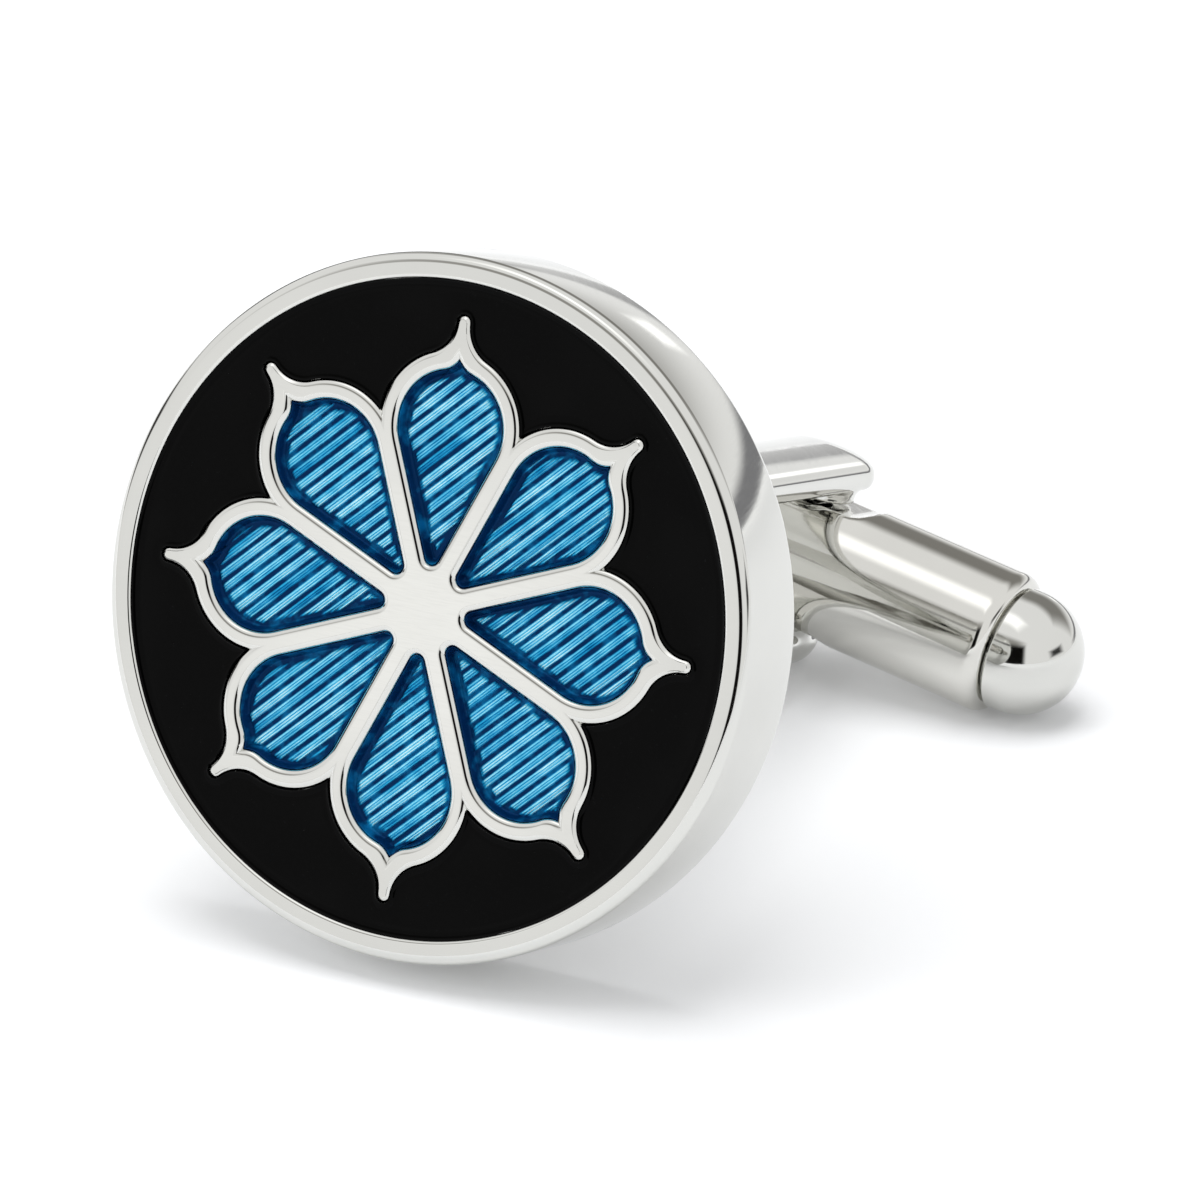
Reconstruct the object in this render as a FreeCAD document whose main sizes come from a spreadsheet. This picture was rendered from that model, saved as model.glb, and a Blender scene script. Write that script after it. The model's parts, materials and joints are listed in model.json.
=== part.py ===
import FreeCAD, Part
import math
import os
from FreeCAD import Placement, Rotation, Vector

# A cufflink with a round enamelled face, a forked post and a toggle that swivels between the fork's arms.
# Each piece is drawn on the bench: the link's axis is Z, the back of the disc is at Z = 0, the face looks
# along -Z, the arms stand at +Y and -Y, and the toggle lies along X. The last section lays the link down.

doc = FreeCAD.newDocument("cufflink")
touch = 0.0001
mesh_step = 0.01
turn_count = 40

# Driving dimensions, in millimetres and degrees
sizes = {
    # disc
    "disc_dia": 18.0,
    "disc_thick": 3.05,
    "back_bevel": 0.3,
    "front_bevel": 0.12,
    "rim_width": 0.65,
    "edge_bevel": 0.06,
    # flower and enamel
    "petal_count": 8,
    "flower_turn": -11.0,
    "spike_gap": 0.86,
    "spoke_width": 0.64,
    "cell_round": 1.46,
    "cell_root": 0.2,
    "cell_tip": 6.35,
    "frame_band": 0.52,
    "spike_curve": 0.95,
    "spike_half": 0.1,
    "black_depth": 0.5,
    "blue_depth": 0.42,
    "enamel_drop": 0.1,
    "fill_gap": 0.01,
    # post
    "pivot_height": 18.8,
    "spigot_rad": 0.9,
    "spigot_depth": 0.8,
    "neck_rad": 1.2,
    "bead_rad": 1.4,
    "bead_height": 0.34,
    "collar_rad": 1.64,
    "collar_height": 0.72,
    "collar_lip": 0.12,
    "foot_rad": 1.27,
    "foot_base": 2.1,
    "foot_lean": 8.7,
    "arm_width": 2.8,
    "arm_thick": 0.92,
    "arm_clear": 0.12,
    "arm_bend": 7.4,
    "bend_round": 5.0,
    "slot_base": 1.75,
    "slot_round": 0.35,
    "slot_web": 0.18,
    "root_half": 0.96,
    "waist_height": 5.2,
    "tip_rise": 0.7,
    "dome_rad": 2.3,
    "dome_flat": 1.1,
    "boss_rad": 1.32,
    "boss_gap": 0.08,
    # pin
    "pin_head": 1.56,
    "pin_shank": 1.1,
    "pin_proud": 0.05,
    "pin_seat": 0.5,
    "slip_gap": 0.03,
    # toggle
    "tube_dia": 4.0,
    "tube_wall": 0.25,
    "tube_length": 14.1,
    "dent_depth": 0.28,
    "dent_half": 1.7,
    "dent_round": 0.9,
    "crimp_round": 0.42,
    "plug_gap": 0.02,
    "plug_reach": 2.05,
    "plug_seat": 2.3,
    "groove_gap": 0.06,
    "hole_gap": 0.05,
    "spring_thick": 0.18,
    "spring_width": 1.4,
    "spring_gap": 0.01,
}

sheet = doc.addObject("Spreadsheet::Sheet", "Sizes")
for row, (alias, value) in enumerate(sizes.items(), start=1):
    sheet.set("A%d" % row, alias)
    sheet.set("B%d" % row, str(value))
    sheet.setAlias("B%d" % row, alias)
doc.recompute()


def size(alias):
    return float(sheet.get(alias))


def bind(item, **links):
    # ties an object's sizes to cells of the sheet; a double underscore stands for a dot
    for name, formula in links.items():
        item.setExpression(name.replace("__", "."), formula)


def body_for(label):
    body = doc.addObject("PartDesign::Body", label)
    body.Label = label
    return body


def axis_or_plane(body, role):
    return next(item for item in body.Origin.OriginFeatures if item.Role == role)


def sketch_on(body, name, plane, curves, level=None):
    sketch = body.newObject("Sketcher::SketchObject", name)
    sketch.AttachmentSupport = [(axis_or_plane(body, plane), "")]
    sketch.MapMode = "FlatFace"
    sketch.addGeometry(curves, False)
    if level:
        bind(sketch, AttachmentOffset__Base__z=level)
    return sketch


def feature(body, kind, name, sketch, **links):
    item = body.newObject("PartDesign::" + kind, name)
    item.Profile = sketch
    bind(item, **links)
    return item


def revolved(body, name, curves, axis):
    # a solid of revolution, drawn on the XZ plane
    sketch = sketch_on(body, name + "Profile", "XZ_Plane", curves)
    item = feature(body, "Revolution", name, sketch)
    item.ReferenceAxis = (sketch, [axis])
    item.Angle = 360
    return item


def point(x, y):
    return Vector(x, y, 0)


def polar(centre, radius, degrees):
    angle = math.radians(degrees)
    return centre + point(radius * math.cos(angle), radius * math.sin(angle))


def line(start, end):
    return Part.LineSegment(start, end)


def chain(*points):
    return [line(a, b) for a, b in zip(points, points[1:])]


def arc(centre, radius, start, end):
    # counter-clockwise from the start angle to the end angle, in degrees
    ring = Part.Circle(centre, Vector(0, 0, 1), radius)
    return Part.ArcOfCircle(ring, math.radians(start), math.radians(end))


def full_circle(radius):
    return Part.Circle(Vector(0, 0, 0), Vector(0, 0, 1), radius)


def mirrored(curve, across=-1, along=1):
    # the same curve on the other side of the sketch's vertical axis, or of another axis by the two signs
    def flip(spot):
        return point(across * spot.x, along * spot.y)

    if isinstance(curve, Part.LineSegment):
        return line(flip(curve.StartPoint), flip(curve.EndPoint))
    middle = curve.value((curve.FirstParameter + curve.LastParameter) / 2)
    return Part.Arc(flip(curve.EndPoint), flip(middle), flip(curve.StartPoint))


def rotated(curves, degrees):
    spin = Rotation(Vector(0, 0, 1), degrees)
    copies = [curve.copy() for curve in curves]
    for copy in copies:
        copy.rotate(Placement(Vector(0, 0, 0), spin))
    return copies


# Outlines of the flower, drawn for a petal along +X. Half a petal's share of the circle is the angle between
# the petal's middle and the middle of the spoke beside it, and every round is tangent to what it meets. The
# flower is scaled so that its spikes end just short of the rim.
disc_rad = size("disc_dia") / 2
field_rad = disc_rad - size("rim_width")
half_share = 180.0 / size("petal_count")


def spike_reach():
    # how far out the spikes come before the flower is scaled
    middle = (size("spoke_width") / 2 + size("cell_round")) / math.sin(math.radians(half_share))
    far = size("cell_round") + size("frame_band") + size("spike_curve")
    aside = size("spike_curve") + size("spike_half")
    return middle + math.sqrt(far ** 2 - aside ** 2) + size("spike_half")


flower_scale = (field_rad - size("spike_gap")) / spike_reach()


def flower(alias):
    return size(alias) * flower_scale


shoulder = (flower("spoke_width") / 2 + flower("cell_round")) / math.sin(math.radians(half_share))


def cell_outline(ease):
    # the blue cell: narrow root, straight sides along the spokes, round shoulders, blunt point
    lean = math.radians(half_share)
    side = 90 + half_share
    spoke = flower("spoke_width") / 2
    root = point((spoke + flower("cell_root")) / math.sin(lean), 0)
    middle = point(shoulder, 0)
    root_rad = flower("cell_root") - ease
    round_rad = flower("cell_round") - ease
    tip_turn = math.degrees(math.acos(flower("cell_round") / (flower("cell_tip") - shoulder)))
    tip = point(shoulder + round_rad / math.cos(math.radians(tip_turn)), 0)
    return [
        *chain(polar(root, root_rad, side), polar(root, root_rad, -side), polar(middle, round_rad, -side)),
        arc(middle, round_rad, -side, -tip_turn),
        line(polar(middle, round_rad, -tip_turn), tip),
        line(tip, polar(middle, round_rad, tip_turn)),
        arc(middle, round_rad, tip_turn, side),
        line(polar(middle, round_rad, side), polar(root, root_rad, side)),
    ]


def frame_petal(ease):
    # one petal of the frame's outer edge, from valley to valley, with a spike that curves out to a point
    lean = math.radians(half_share)
    middle = point(shoulder, 0)
    outer = flower("cell_round") + flower("frame_band") + ease
    hollow = flower("spike_curve") - ease
    half = flower("spike_half") + ease
    reach = math.sqrt(outer ** 2 - (shoulder * math.sin(lean)) ** 2)
    valley = polar(Vector(), shoulder * math.cos(lean) + reach, half_share)
    meet = math.degrees(math.atan2(valley.y, valley.x - shoulder))
    flank = math.degrees(math.asin((hollow + half) / (outer + hollow)))
    spike = shoulder + (outer + hollow) * math.cos(math.radians(flank))
    return [
        arc(middle, outer, -meet, -flank),
        arc(point(spike, -hollow - half), hollow, 90, 180 - flank),
        *chain(point(spike, -half), point(spike + half, 0), point(spike, half)),
        arc(point(spike, hollow + half), hollow, 180 + flank, 270),
        arc(middle, outer, flank, meet),
    ]


def frame_outline(ease):
    curves = []
    for index in range(int(size("petal_count"))):
        curves += rotated(frame_petal(ease), size("flower_turn") + index * 2 * half_share)
    return curves


# Face disc: a turned blank, cells sunk into its front for the enamel, and a socket in its back for the post
def make_face_disc():
    body = body_for("face_disc")
    thick = size("disc_thick")
    front = size("front_bevel")
    back = size("back_bevel")
    edge = [point(disc_rad - front, -thick), point(disc_rad, front - thick)]
    edge += [point(disc_rad, -back), point(disc_rad - back, 0)]
    revolved(body, "Blank", chain(point(0, -thick), *edge, point(0, 0), point(0, -thick)), "V_Axis")
    socket = [full_circle(size("spigot_rad") + size("slip_gap"))]
    socket_sketch = sketch_on(body, "SocketCircle", "XY_Plane", socket)
    feature(body, "Pocket", "Socket", socket_sketch, Length="Sizes.spigot_depth + Sizes.slip_gap")
    field = [full_circle(field_rad)] + frame_outline(0)
    field_sketch = sketch_on(body, "FieldOutline", "XY_Plane", field, "-Sizes.disc_thick")
    field_pocket = feature(body, "Pocket", "Field", field_sketch, Length="Sizes.black_depth")
    field_pocket.Reversed = True
    cell = rotated(cell_outline(0), size("flower_turn"))
    cell_sketch = sketch_on(body, "CellOutline", "XY_Plane", cell, "-Sizes.disc_thick")
    cell_pocket = feature(body, "Pocket", "Cell", cell_sketch, Length="Sizes.blue_depth")
    cell_pocket.Reversed = True
    cells = body.newObject("PartDesign::PolarPattern", "Cells")
    cells.Originals = [cell_pocket]
    cells.Axis = (cell_sketch, ["N_Axis"])
    cells.Angle = 360
    bind(cells, Occurrences="Sizes.petal_count")
    body.Tip = cells
    doc.recompute()
    bevel(body, cells, "FrontEdges", "Sizes.edge_bevel", front_edge)
    return body


def front_edge(edge):
    # an edge of the enamel cells, in the plane of the face
    box = edge.BoundBox
    flat = box.ZLength < touch and abs(box.ZMin + size("disc_thick")) < touch
    return flat and box.XMax < field_rad + touch


def bevel(body, base, name, width, wanted):
    # bevels every edge of the base feature that the given test picks
    chamfer = body.newObject("PartDesign::Chamfer", name)
    picked = [i for i, edge in enumerate(base.Shape.Edges, start=1) if wanted(edge)]
    chamfer.Base = (base, ["Edge%d" % i for i in picked])
    bind(chamfer, Size=width)
    body.Tip = chamfer


def make_black_enamel():
    body = body_for("black_enamel")
    ease = size("fill_gap")
    field = [full_circle(field_rad - ease)] + frame_outline(ease)
    sketch = sketch_on(body, "FillOutline", "XY_Plane", field, "Sizes.black_depth - Sizes.disc_thick")
    pad = feature(body, "Pad", "Fill", sketch, Length="Sizes.black_depth - Sizes.enamel_drop")
    pad.Reversed = True
    return body


def make_blue_enamel(index):
    body = body_for("blue_enamel_%d" % (index + 1))
    turn = size("flower_turn") + index * 2 * half_share
    cell = rotated(cell_outline(size("fill_gap")), turn)
    sketch = sketch_on(body, "PetalOutline", "XY_Plane", cell, "Sizes.blue_depth - Sizes.disc_thick")
    pad = feature(body, "Pad", "Petal", sketch, Length="Sizes.blue_depth - Sizes.enamel_drop")
    pad.Reversed = True
    return body


# Post: two bent arms of one thickness that clear the toggle, round backs at their feet, and a turned foot
arm_in = size("tube_dia") / 2 + size("arm_clear")
arm_out = arm_in + size("arm_thick")
tip_middle = size("pivot_height") + size("tip_rise")
tip_top = tip_middle + size("arm_width") / 2
bend = point(arm_in - size("bend_round"), size("arm_bend"))
slot_middle = point(0, size("slot_base") + size("slot_round"))
foot_top = size("slot_base") - size("slot_web")
bend_far = bend - slot_middle
arm_lean = (math.degrees(math.acos((size("slot_round") - size("bend_round")) / bend_far.Length))
            - math.degrees(math.atan2(bend_far.y, bend_far.x)))


def arm_side(offset, top):
    # the arm's face at +Y, this far outside the slot's wall: upright, round the bend, in to the slot's base
    bend_rad = size("bend_round") + offset
    upright = bend + point(bend_rad, 0)
    low = polar(slot_middle, size("slot_round") + offset, -arm_lean)
    return [
        line(point(upright.x, top), upright),
        arc(bend, bend_rad, -arm_lean, 0),
        line(polar(bend, bend_rad, -arm_lean), low),
    ], low


def make_fork_bar():
    # both arms: a bent strip seen from the side, cut to its outline as seen from the front
    body = body_for("ForkBar")
    outside, outside_low = arm_side(size("arm_thick"), tip_top)
    inside, _ = arm_side(0, tip_top)
    heel = point(outside_low.x, foot_top)
    across = [
        line(point(arm_in, tip_top), point(arm_out, tip_top)),
        line(point(-arm_in, tip_top), point(-arm_out, tip_top)),
        *chain(outside_low, heel, point(-heel.x, heel.y), point(-heel.x, outside_low.y)),
    ]
    base = arc(slot_middle, size("slot_round"), 180 + arm_lean, 360 - arm_lean)
    both = outside + inside
    both += [mirrored(curve) for curve in both]
    side = sketch_on(body, "StripSide", "YZ_Plane", both + across + [base])
    strip = feature(body, "Pad", "Strip", side, Length="Sizes.arm_width")
    strip.SideType = "Symmetric"
    half = size("arm_width") / 2
    waist = point(half, size("waist_height"))
    low = point(size("root_half"), foot_top)
    tip = arc(point(0, tip_middle), half, 0, 180)
    right = chain(point(half, tip_middle), waist, low)
    outline = [tip, *right, *[mirrored(curve) for curve in right], line(low, point(-low.x, low.y))]
    wide = size("arm_width")
    high = tip_top + size("arm_width")
    border = chain(point(-wide, 0), point(wide, 0), point(wide, high), point(-wide, high), point(-wide, 0))
    front = sketch_on(body, "ArmOutline", "XZ_Plane", outline + border)
    across_both = "2 * (Sizes.tube_dia + 2 * Sizes.arm_clear + 2 * Sizes.arm_thick)"
    trim = feature(body, "Pocket", "ArmTrim", front, Length=across_both)
    trim.SideType = "Symmetric"
    return body


def make_slot():
    body = body_for("Slot")
    inside, _ = arm_side(0, tip_top)
    base = arc(slot_middle, size("slot_round"), 180 + arm_lean, 360 - arm_lean)
    lid = line(point(-arm_in, tip_top), point(arm_in, tip_top))
    inside += [mirrored(curve) for curve in inside]
    side = sketch_on(body, "SlotSide", "YZ_Plane", inside + [base, lid])
    pad = feature(body, "Pad", "SlotPad", side, Length="2 * Sizes.arm_width")
    pad.SideType = "Symmetric"
    return body


def make_turned_foot():
    # spigot for the disc's socket, neck, and a bead above the collar
    body = body_for("TurnedFoot")
    spigot = size("spigot_rad")
    neck = size("neck_rad")
    bead_low = point(neck, size("collar_height") + size("fill_gap"))
    bead_high = bead_low + point(0, size("bead_height"))
    swell = size("bead_rad") - neck
    bead = [bead_low, bead_low + point(swell, swell / 2), bead_high + point(swell, -swell / 2), bead_high]
    revolved(body, "Foot", [
        *chain(point(0, foot_top), point(0, -size("spigot_depth")), point(spigot, -size("spigot_depth"))),
        *chain(point(spigot, -size("spigot_depth")), point(spigot, 0), point(neck, 0), *bead),
        *chain(bead_high, point(neck, foot_top), point(0, foot_top)),
    ], "V_Axis")
    return body


def solid(kind, name, placement, **links):
    item = doc.addObject("Part::" + kind, name)
    item.Placement = placement
    bind(item, **links)
    return item


def joined(name, items):
    fuse = doc.addObject("Part::MultiFuse", name)
    fuse.Shapes = items
    return fuse


def cut(name, base, tool):
    item = doc.addObject("Part::Cut", name)
    item.Base = base
    item.Tool = tool
    return item


def make_round_backs():
    # the round back of each arm's foot leans with the arm, and breaks out of its flat face as an arch
    lean = size("foot_lean")
    apex = polar(bend, size("bend_round") + size("arm_thick") - size("foot_rad"), -lean)
    length = (apex.y - size("foot_base")) / math.cos(math.radians(lean))
    low = apex.x - length * math.sin(math.radians(lean))
    backs = []
    for side in (1, -1):
        place = Placement(Vector(0, side * low, size("foot_base")), Rotation(Vector(1, 0, 0), -side * lean))
        back = solid("Cylinder", "RoundBack", place, Radius="Sizes.foot_rad")
        back.Height = length
        heel = solid("Sphere", "Heel", place, Radius="Sizes.foot_rad")
        backs.append(cut("OpenBack", joined("RoundFoot", [back, heel]), make_slot()))
    return backs


def make_tip_domes():
    # the round-topped bars that the arms are finished to: the +Y one leaves a flat round the pin's head,
    # the -Y one is domed all over and covers the pin's end
    flat = arm_out - math.sqrt(size("dome_rad") ** 2 - size("dome_flat") ** 2)
    domes = []
    for side, inset, rise in ((1, flat, 0), (-1, arm_out - size("dome_rad"), size("tip_rise"))):
        base = Placement(Vector(0, side * inset, rise), Rotation())
        bar = solid("Cylinder", "DomeBar", base, Radius="Sizes.dome_rad", Height="Sizes.pivot_height")
        high = Placement(Vector(0, side * inset, size("pivot_height") + rise), Rotation())
        ball = solid("Sphere", "DomeBall", high, Radius="Sizes.dome_rad")
        domes += [bar, ball]
    return joined("TipDomes", domes)


def make_bosses():
    # a round boss inside each arm tip stands off the toggle's dent
    bosses = []
    face = size("tube_dia") / 2 - size("dent_depth") + size("boss_gap")
    for side in (1, -1):
        inward = Rotation(Vector(1, 0, 0), side * 90)
        place = Placement(Vector(0, side * arm_in, size("pivot_height")), inward)
        boss = solid("Cylinder", "Boss", place, Radius="Sizes.boss_rad")
        boss.Height = arm_in - face
        bosses.append(boss)
    return bosses


def square_bar(name, across, start, end):
    # a square bar along Y through the pivot
    half = across / 2
    bar = doc.addObject("Part::Box", name)
    bar.Length = across
    bar.Width = end - start
    bar.Height = across
    bar.Placement = Placement(Vector(-half, start, size("pivot_height") - half), Rotation())
    return bar


def make_post_fork():
    arms = doc.addObject("Part::Common", "Arms")
    arms.Base = make_fork_bar()
    arms.Tool = make_tip_domes()
    fork = joined("ForkBlank", [arms, make_turned_foot()] + make_round_backs() + make_bosses())
    gap = 2 * size("slip_gap")
    far = arm_out + size("arm_thick")
    holes = [
        square_bar("HeadHole", size("pin_head") + gap, 0, far),
        square_bar("ShankHole", size("pin_shank") + gap, -arm_in - size("pin_seat"), 0),
    ]
    post = cut("post_fork", fork, joined("PinHoles", holes))
    post.Label = "post_fork"
    return post


def make_solder_collar():
    body = body_for("solder_collar")
    inner = size("neck_rad") + size("fill_gap")
    outer = size("collar_rad")
    high = size("collar_height")
    lip = size("collar_lip")
    crown = (inner + outer) / 2
    revolved(body, "Collar", [
        *chain(point(inner, high), point(inner, 0), point(outer, 0), point(outer, lip)),
        *chain(point(outer, lip), point(outer - lip, lip), point(outer - lip, high / 2)),
        *chain(point(outer - lip, high / 2), point(crown, high), point(inner, high)),
    ], "V_Axis")
    return body


def make_pivot_pin():
    face = size("tube_dia") / 2 - size("dent_depth") + size("boss_gap")
    proud = arm_out + size("pin_proud")
    seat = arm_in + size("pin_seat") - size("slip_gap")
    head = square_bar("PinHead", size("pin_head"), face, proud)
    shank = square_bar("PinShank", size("pin_shank"), -seat, face)
    pin = joined("pivot_pin", [head, shank])
    pin.Label = "pivot_pin"
    return pin


# Toggle: drawn about its own middle, and set on the pivot when the link is laid down
tube_rad = size("tube_dia") / 2
bore_rad = tube_rad - size("tube_wall")
tube_end = size("tube_length") / 2
lip_rad = tube_rad - size("crimp_round")


def dented(body, inset):
    # presses a flat with flared ends into both sides of a turned solid, this far inside the tube's surface
    level = tube_rad - size("dent_depth")
    flare = size("dent_round")
    middle = point(size("dent_half"), level + flare)
    brim = tube_rad + size("tube_wall")
    flare_rad = flare + inset
    rise = math.degrees(math.asin((brim - middle.y) / flare_rad))
    brim_end = polar(middle, flare_rad, rise)
    flat_end = point(middle.x, level - inset)
    half = [arc(middle, flare_rad, 270, 360 + rise)]
    across = [
        line(point(-flat_end.x, flat_end.y), flat_end),
        line(brim_end, point(-brim_end.x, brim_end.y)),
    ]
    dent = half + [mirrored(curve) for curve in half] + across
    sketch = sketch_on(body, "DentOutline", "XY_Plane", dent + rotated(dent, 180))
    pocket = feature(body, "Pocket", "Dents", sketch, Length="2 * Sizes.tube_dia")
    pocket.SideType = "Symmetric"


def make_toggle_tube():
    crimp = size("crimp_round")
    wall = size("tube_wall")
    shoulder_middle = point(tube_end - crimp, lip_rad)
    outer = body_for("TubeOuter")
    revolved(outer, "Outer", [
        *chain(point(tube_end, lip_rad), point(tube_end, 0), point(-tube_end, 0)),
        *chain(point(-tube_end, 0), point(-tube_end, tube_rad), point(tube_end - crimp, tube_rad)),
        *chain(*[polar(shoulder_middle, crimp, turn) for turn in (0, 30, 60, 90)]),
    ], "H_Axis")
    dented(outer, 0)
    bore = body_for("TubeBore")
    past = tube_end + wall
    revolved(bore, "Bore", [
        *chain(point(tube_end - wall, lip_rad), point(past, lip_rad), point(past, 0), point(-past, 0)),
        *chain(point(-past, 0), point(-past, bore_rad), point(tube_end - crimp, bore_rad)),
        line(point(tube_end - crimp, bore_rad), point(tube_end - wall, lip_rad)),
    ], "H_Axis")
    dented(bore, wall)
    place = Placement(Vector(0, tube_rad, 0), Rotation(Vector(1, 0, 0), 90))
    hole = solid("Cylinder", "CrossHole", place, Radius="Sizes.pin_shank * sqrt(0.5) + Sizes.hole_gap",
                 Height="Sizes.tube_dia")
    tube = cut("toggle_tube", cut("TubeShell", outer, bore), hole)
    tube.Label = "toggle_tube"
    return tube


def make_end_plug(label, side, crimped):
    # a bullet: shank in the tube, groove under the crimp, and a round nose
    body = body_for(label)
    seat = tube_end - size("plug_seat")
    shank = bore_rad - size("plug_gap")
    tip = tube_end + size("plug_reach")
    nose = arc(point(tip - shank, 0), shank, 0, 90)
    if crimped:
        groove = lip_rad - size("plug_gap")
        start = tube_end - size("crimp_round")
        neck = tube_end + size("groove_gap")
        steps = [point(start, shank), point(start, groove), point(neck, groove), point(neck, shank)]
    else:
        steps = []
    outline = chain(point(tip, 0), point(seat, 0), point(seat, shank), *steps, point(tip - shank, shank))
    outline.append(nose)
    if side < 0:
        outline = [mirrored(curve) for curve in outline]
    revolved(body, "Plug", outline, "H_Axis")
    return body


def make_detent_spring():
    # a hairpin strip: its limbs bear on two flats of the square pin and spread to the bore at both ends
    body = body_for("detent_spring")
    half = size("spring_thick") / 2
    gap = size("spring_gap")
    flat = size("pin_shank") / 2
    spread = math.sqrt((bore_rad - gap) ** 2 - (size("spring_width") / 2) ** 2) - half
    turn_x = tube_end - size("plug_seat") - gap - spread - half
    limb = [
        point(turn_x + flat, spread),
        point(flat, flat + gap + half),
        point(-flat, flat + gap + half),
        point(-turn_x, spread),
    ]
    outer = offset_run(limb, half)
    inner = offset_run(limb, -half)
    bend_middle = point(-turn_x, 0)
    upper = chain(*outer) + chain(*inner) + [line(outer[0], inner[0])]
    lower = [mirrored(curve, 1, -1) for curve in upper]
    start = math.degrees(math.atan2(outer[-1].y, outer[-1].x + turn_x))
    outer_rad = (outer[-1] - bend_middle).Length
    inner_start = math.degrees(math.atan2(inner[-1].y, inner[-1].x + turn_x))
    inner_rad = (inner[-1] - bend_middle).Length
    turns = [
        arc(bend_middle, outer_rad, start, 360 - start),
        arc(bend_middle, inner_rad, inner_start, 360 - inner_start),
    ]
    sketch = sketch_on(body, "HairpinSide", "XZ_Plane", upper + lower + turns)
    pad = feature(body, "Pad", "Hairpin", sketch, Length="Sizes.spring_width")
    pad.SideType = "Symmetric"
    return body


def offset_run(points, distance):
    # the same run of straight lines, this far to its right-hand side, mitred at the corners
    normals = []
    for start, end in zip(points, points[1:]):
        along = (end - start).normalize()
        normals.append(point(along.y, -along.x))
    result = [points[0] + normals[0] * distance]
    for corner, before, after in zip(points[1:], normals, normals[1:]):
        middle = (before + after).normalize()
        result.append(corner + middle * (distance / middle.dot(after)))
    result.append(points[-1] + normals[-1] * distance)
    return result


# Every piece: those fixed to the disc stay where they are drawn, and the toggle's go up to the pivot
fixed = [make_face_disc(), make_black_enamel()]
fixed += [make_blue_enamel(index) for index in range(int(size("petal_count")))]
fixed += [make_solder_collar(), make_post_fork(), make_pivot_pin()]
swivel = [
    make_toggle_tube(),
    make_end_plug("end_plug_crimped", 1, True),
    make_end_plug("end_plug_pressed", -1, False),
    make_detent_spring(),
]
doc.recompute()

# The link lies down on three points: the disc's bevelled back edge, the lower arm with its pin and the crimped
# end of the toggle. The floor is a plane that turns half of the way to their lowest points each time.
to_pivot = Placement(Vector(0, 0, size("pivot_height")), Rotation())


def surface_points(item, place=Placement()):
    return [place.multVec(spot) for spot in item.Shape.tessellate(mesh_step)[0]]


def named(label):
    return doc.getObjectsByLabel(label)[0]


def resting_floor():
    rim = surface_points(named("face_disc"))
    arm = surface_points(named("post_fork")) + surface_points(named("pivot_pin"))
    end = []
    for label in ("toggle_tube", "end_plug_crimped"):
        end += [spot for spot in surface_points(named(label), to_pivot) if spot.x > 0]
    down = Vector(0, 1, 0)
    for _ in range(turn_count):
        low = [max(spots, key=down.dot) for spots in (rim, arm, end)]
        normal = (low[1] - low[0]).cross(low[2] - low[0]).normalize()
        normal = normal if normal.dot(down) > 0 else -normal
        down = (down + normal).normalize()
    return normal, low


down, contacts = resting_floor()
up = -down
ahead = (Vector(0, 0, 1) - up * up.z).normalize()
lay = Placement(FreeCAD.Matrix(*ahead.cross(up), 0, *ahead, 0, *up, 0, 0, 0, 0, 1))


def extent(item, place):
    return item.Shape.transformed(place.toMatrix()).optimalBoundingBox(False)


box = FreeCAD.BoundBox()
for item in fixed:
    box.add(extent(item, lay))
for item in swivel:
    box.add(extent(item, lay * to_pivot))
to_origin = Placement(Vector(-box.Center.x, -box.Center.y, -lay.multVec(contacts[0]).z), Rotation())
pose = to_origin * lay
for item in fixed:
    item.Placement = pose
for item in swivel:
    item.Placement = pose * to_pivot
doc.recompute()

# Checks, then one file per piece
for item in doc.Objects:
    if "Invalid" in item.State or "Error" in item.State:
        raise RuntimeError("failed: " + item.Label)
for item in fixed + swivel:
    if item.Shape.isNull() or not item.Shape.isValid() or len(item.Shape.Solids) != 1:
        raise RuntimeError("bad shape: " + item.Label)
os.makedirs("parts", exist_ok=True)
for item in fixed + swivel:
    item.Shape.exportStep("parts/%s.step" % item.Label)
    print("%-18s %8.2f mm3" % (item.Label, item.Shape.Volume))
spin = pose.Rotation
print("pivot", pose.multVec(Vector(0, 0, size("pivot_height"))), "axis", spin.multVec(Vector(0, 1, 0)))
print("face normal", spin.multVec(Vector(0, 0, -1)), "toggle line", spin.multVec(Vector(1, 0, 0)))
print("contacts", [pose.multVec(spot) for spot in contacts])
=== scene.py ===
import bmesh
import bpy
import json
import math
import numpy as np
from mathutils import Matrix, Vector
from mathutils.geometry import delaunay_2d_cdt


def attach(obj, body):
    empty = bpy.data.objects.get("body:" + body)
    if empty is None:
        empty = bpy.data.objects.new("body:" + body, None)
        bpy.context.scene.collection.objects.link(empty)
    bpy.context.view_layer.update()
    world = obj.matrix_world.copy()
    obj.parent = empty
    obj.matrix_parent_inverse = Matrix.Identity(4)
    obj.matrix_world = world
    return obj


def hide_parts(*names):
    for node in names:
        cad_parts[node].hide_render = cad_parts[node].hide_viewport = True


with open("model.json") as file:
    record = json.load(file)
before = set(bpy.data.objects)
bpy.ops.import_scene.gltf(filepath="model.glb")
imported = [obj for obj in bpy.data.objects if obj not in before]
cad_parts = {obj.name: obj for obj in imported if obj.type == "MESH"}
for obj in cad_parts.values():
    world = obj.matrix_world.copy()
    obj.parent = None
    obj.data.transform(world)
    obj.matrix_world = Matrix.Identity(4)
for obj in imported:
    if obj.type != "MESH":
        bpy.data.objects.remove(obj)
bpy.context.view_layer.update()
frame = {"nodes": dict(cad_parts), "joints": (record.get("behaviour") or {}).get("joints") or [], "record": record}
scene = bpy.context.scene
nodes = frame["nodes"]
mm = 0.001

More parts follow.
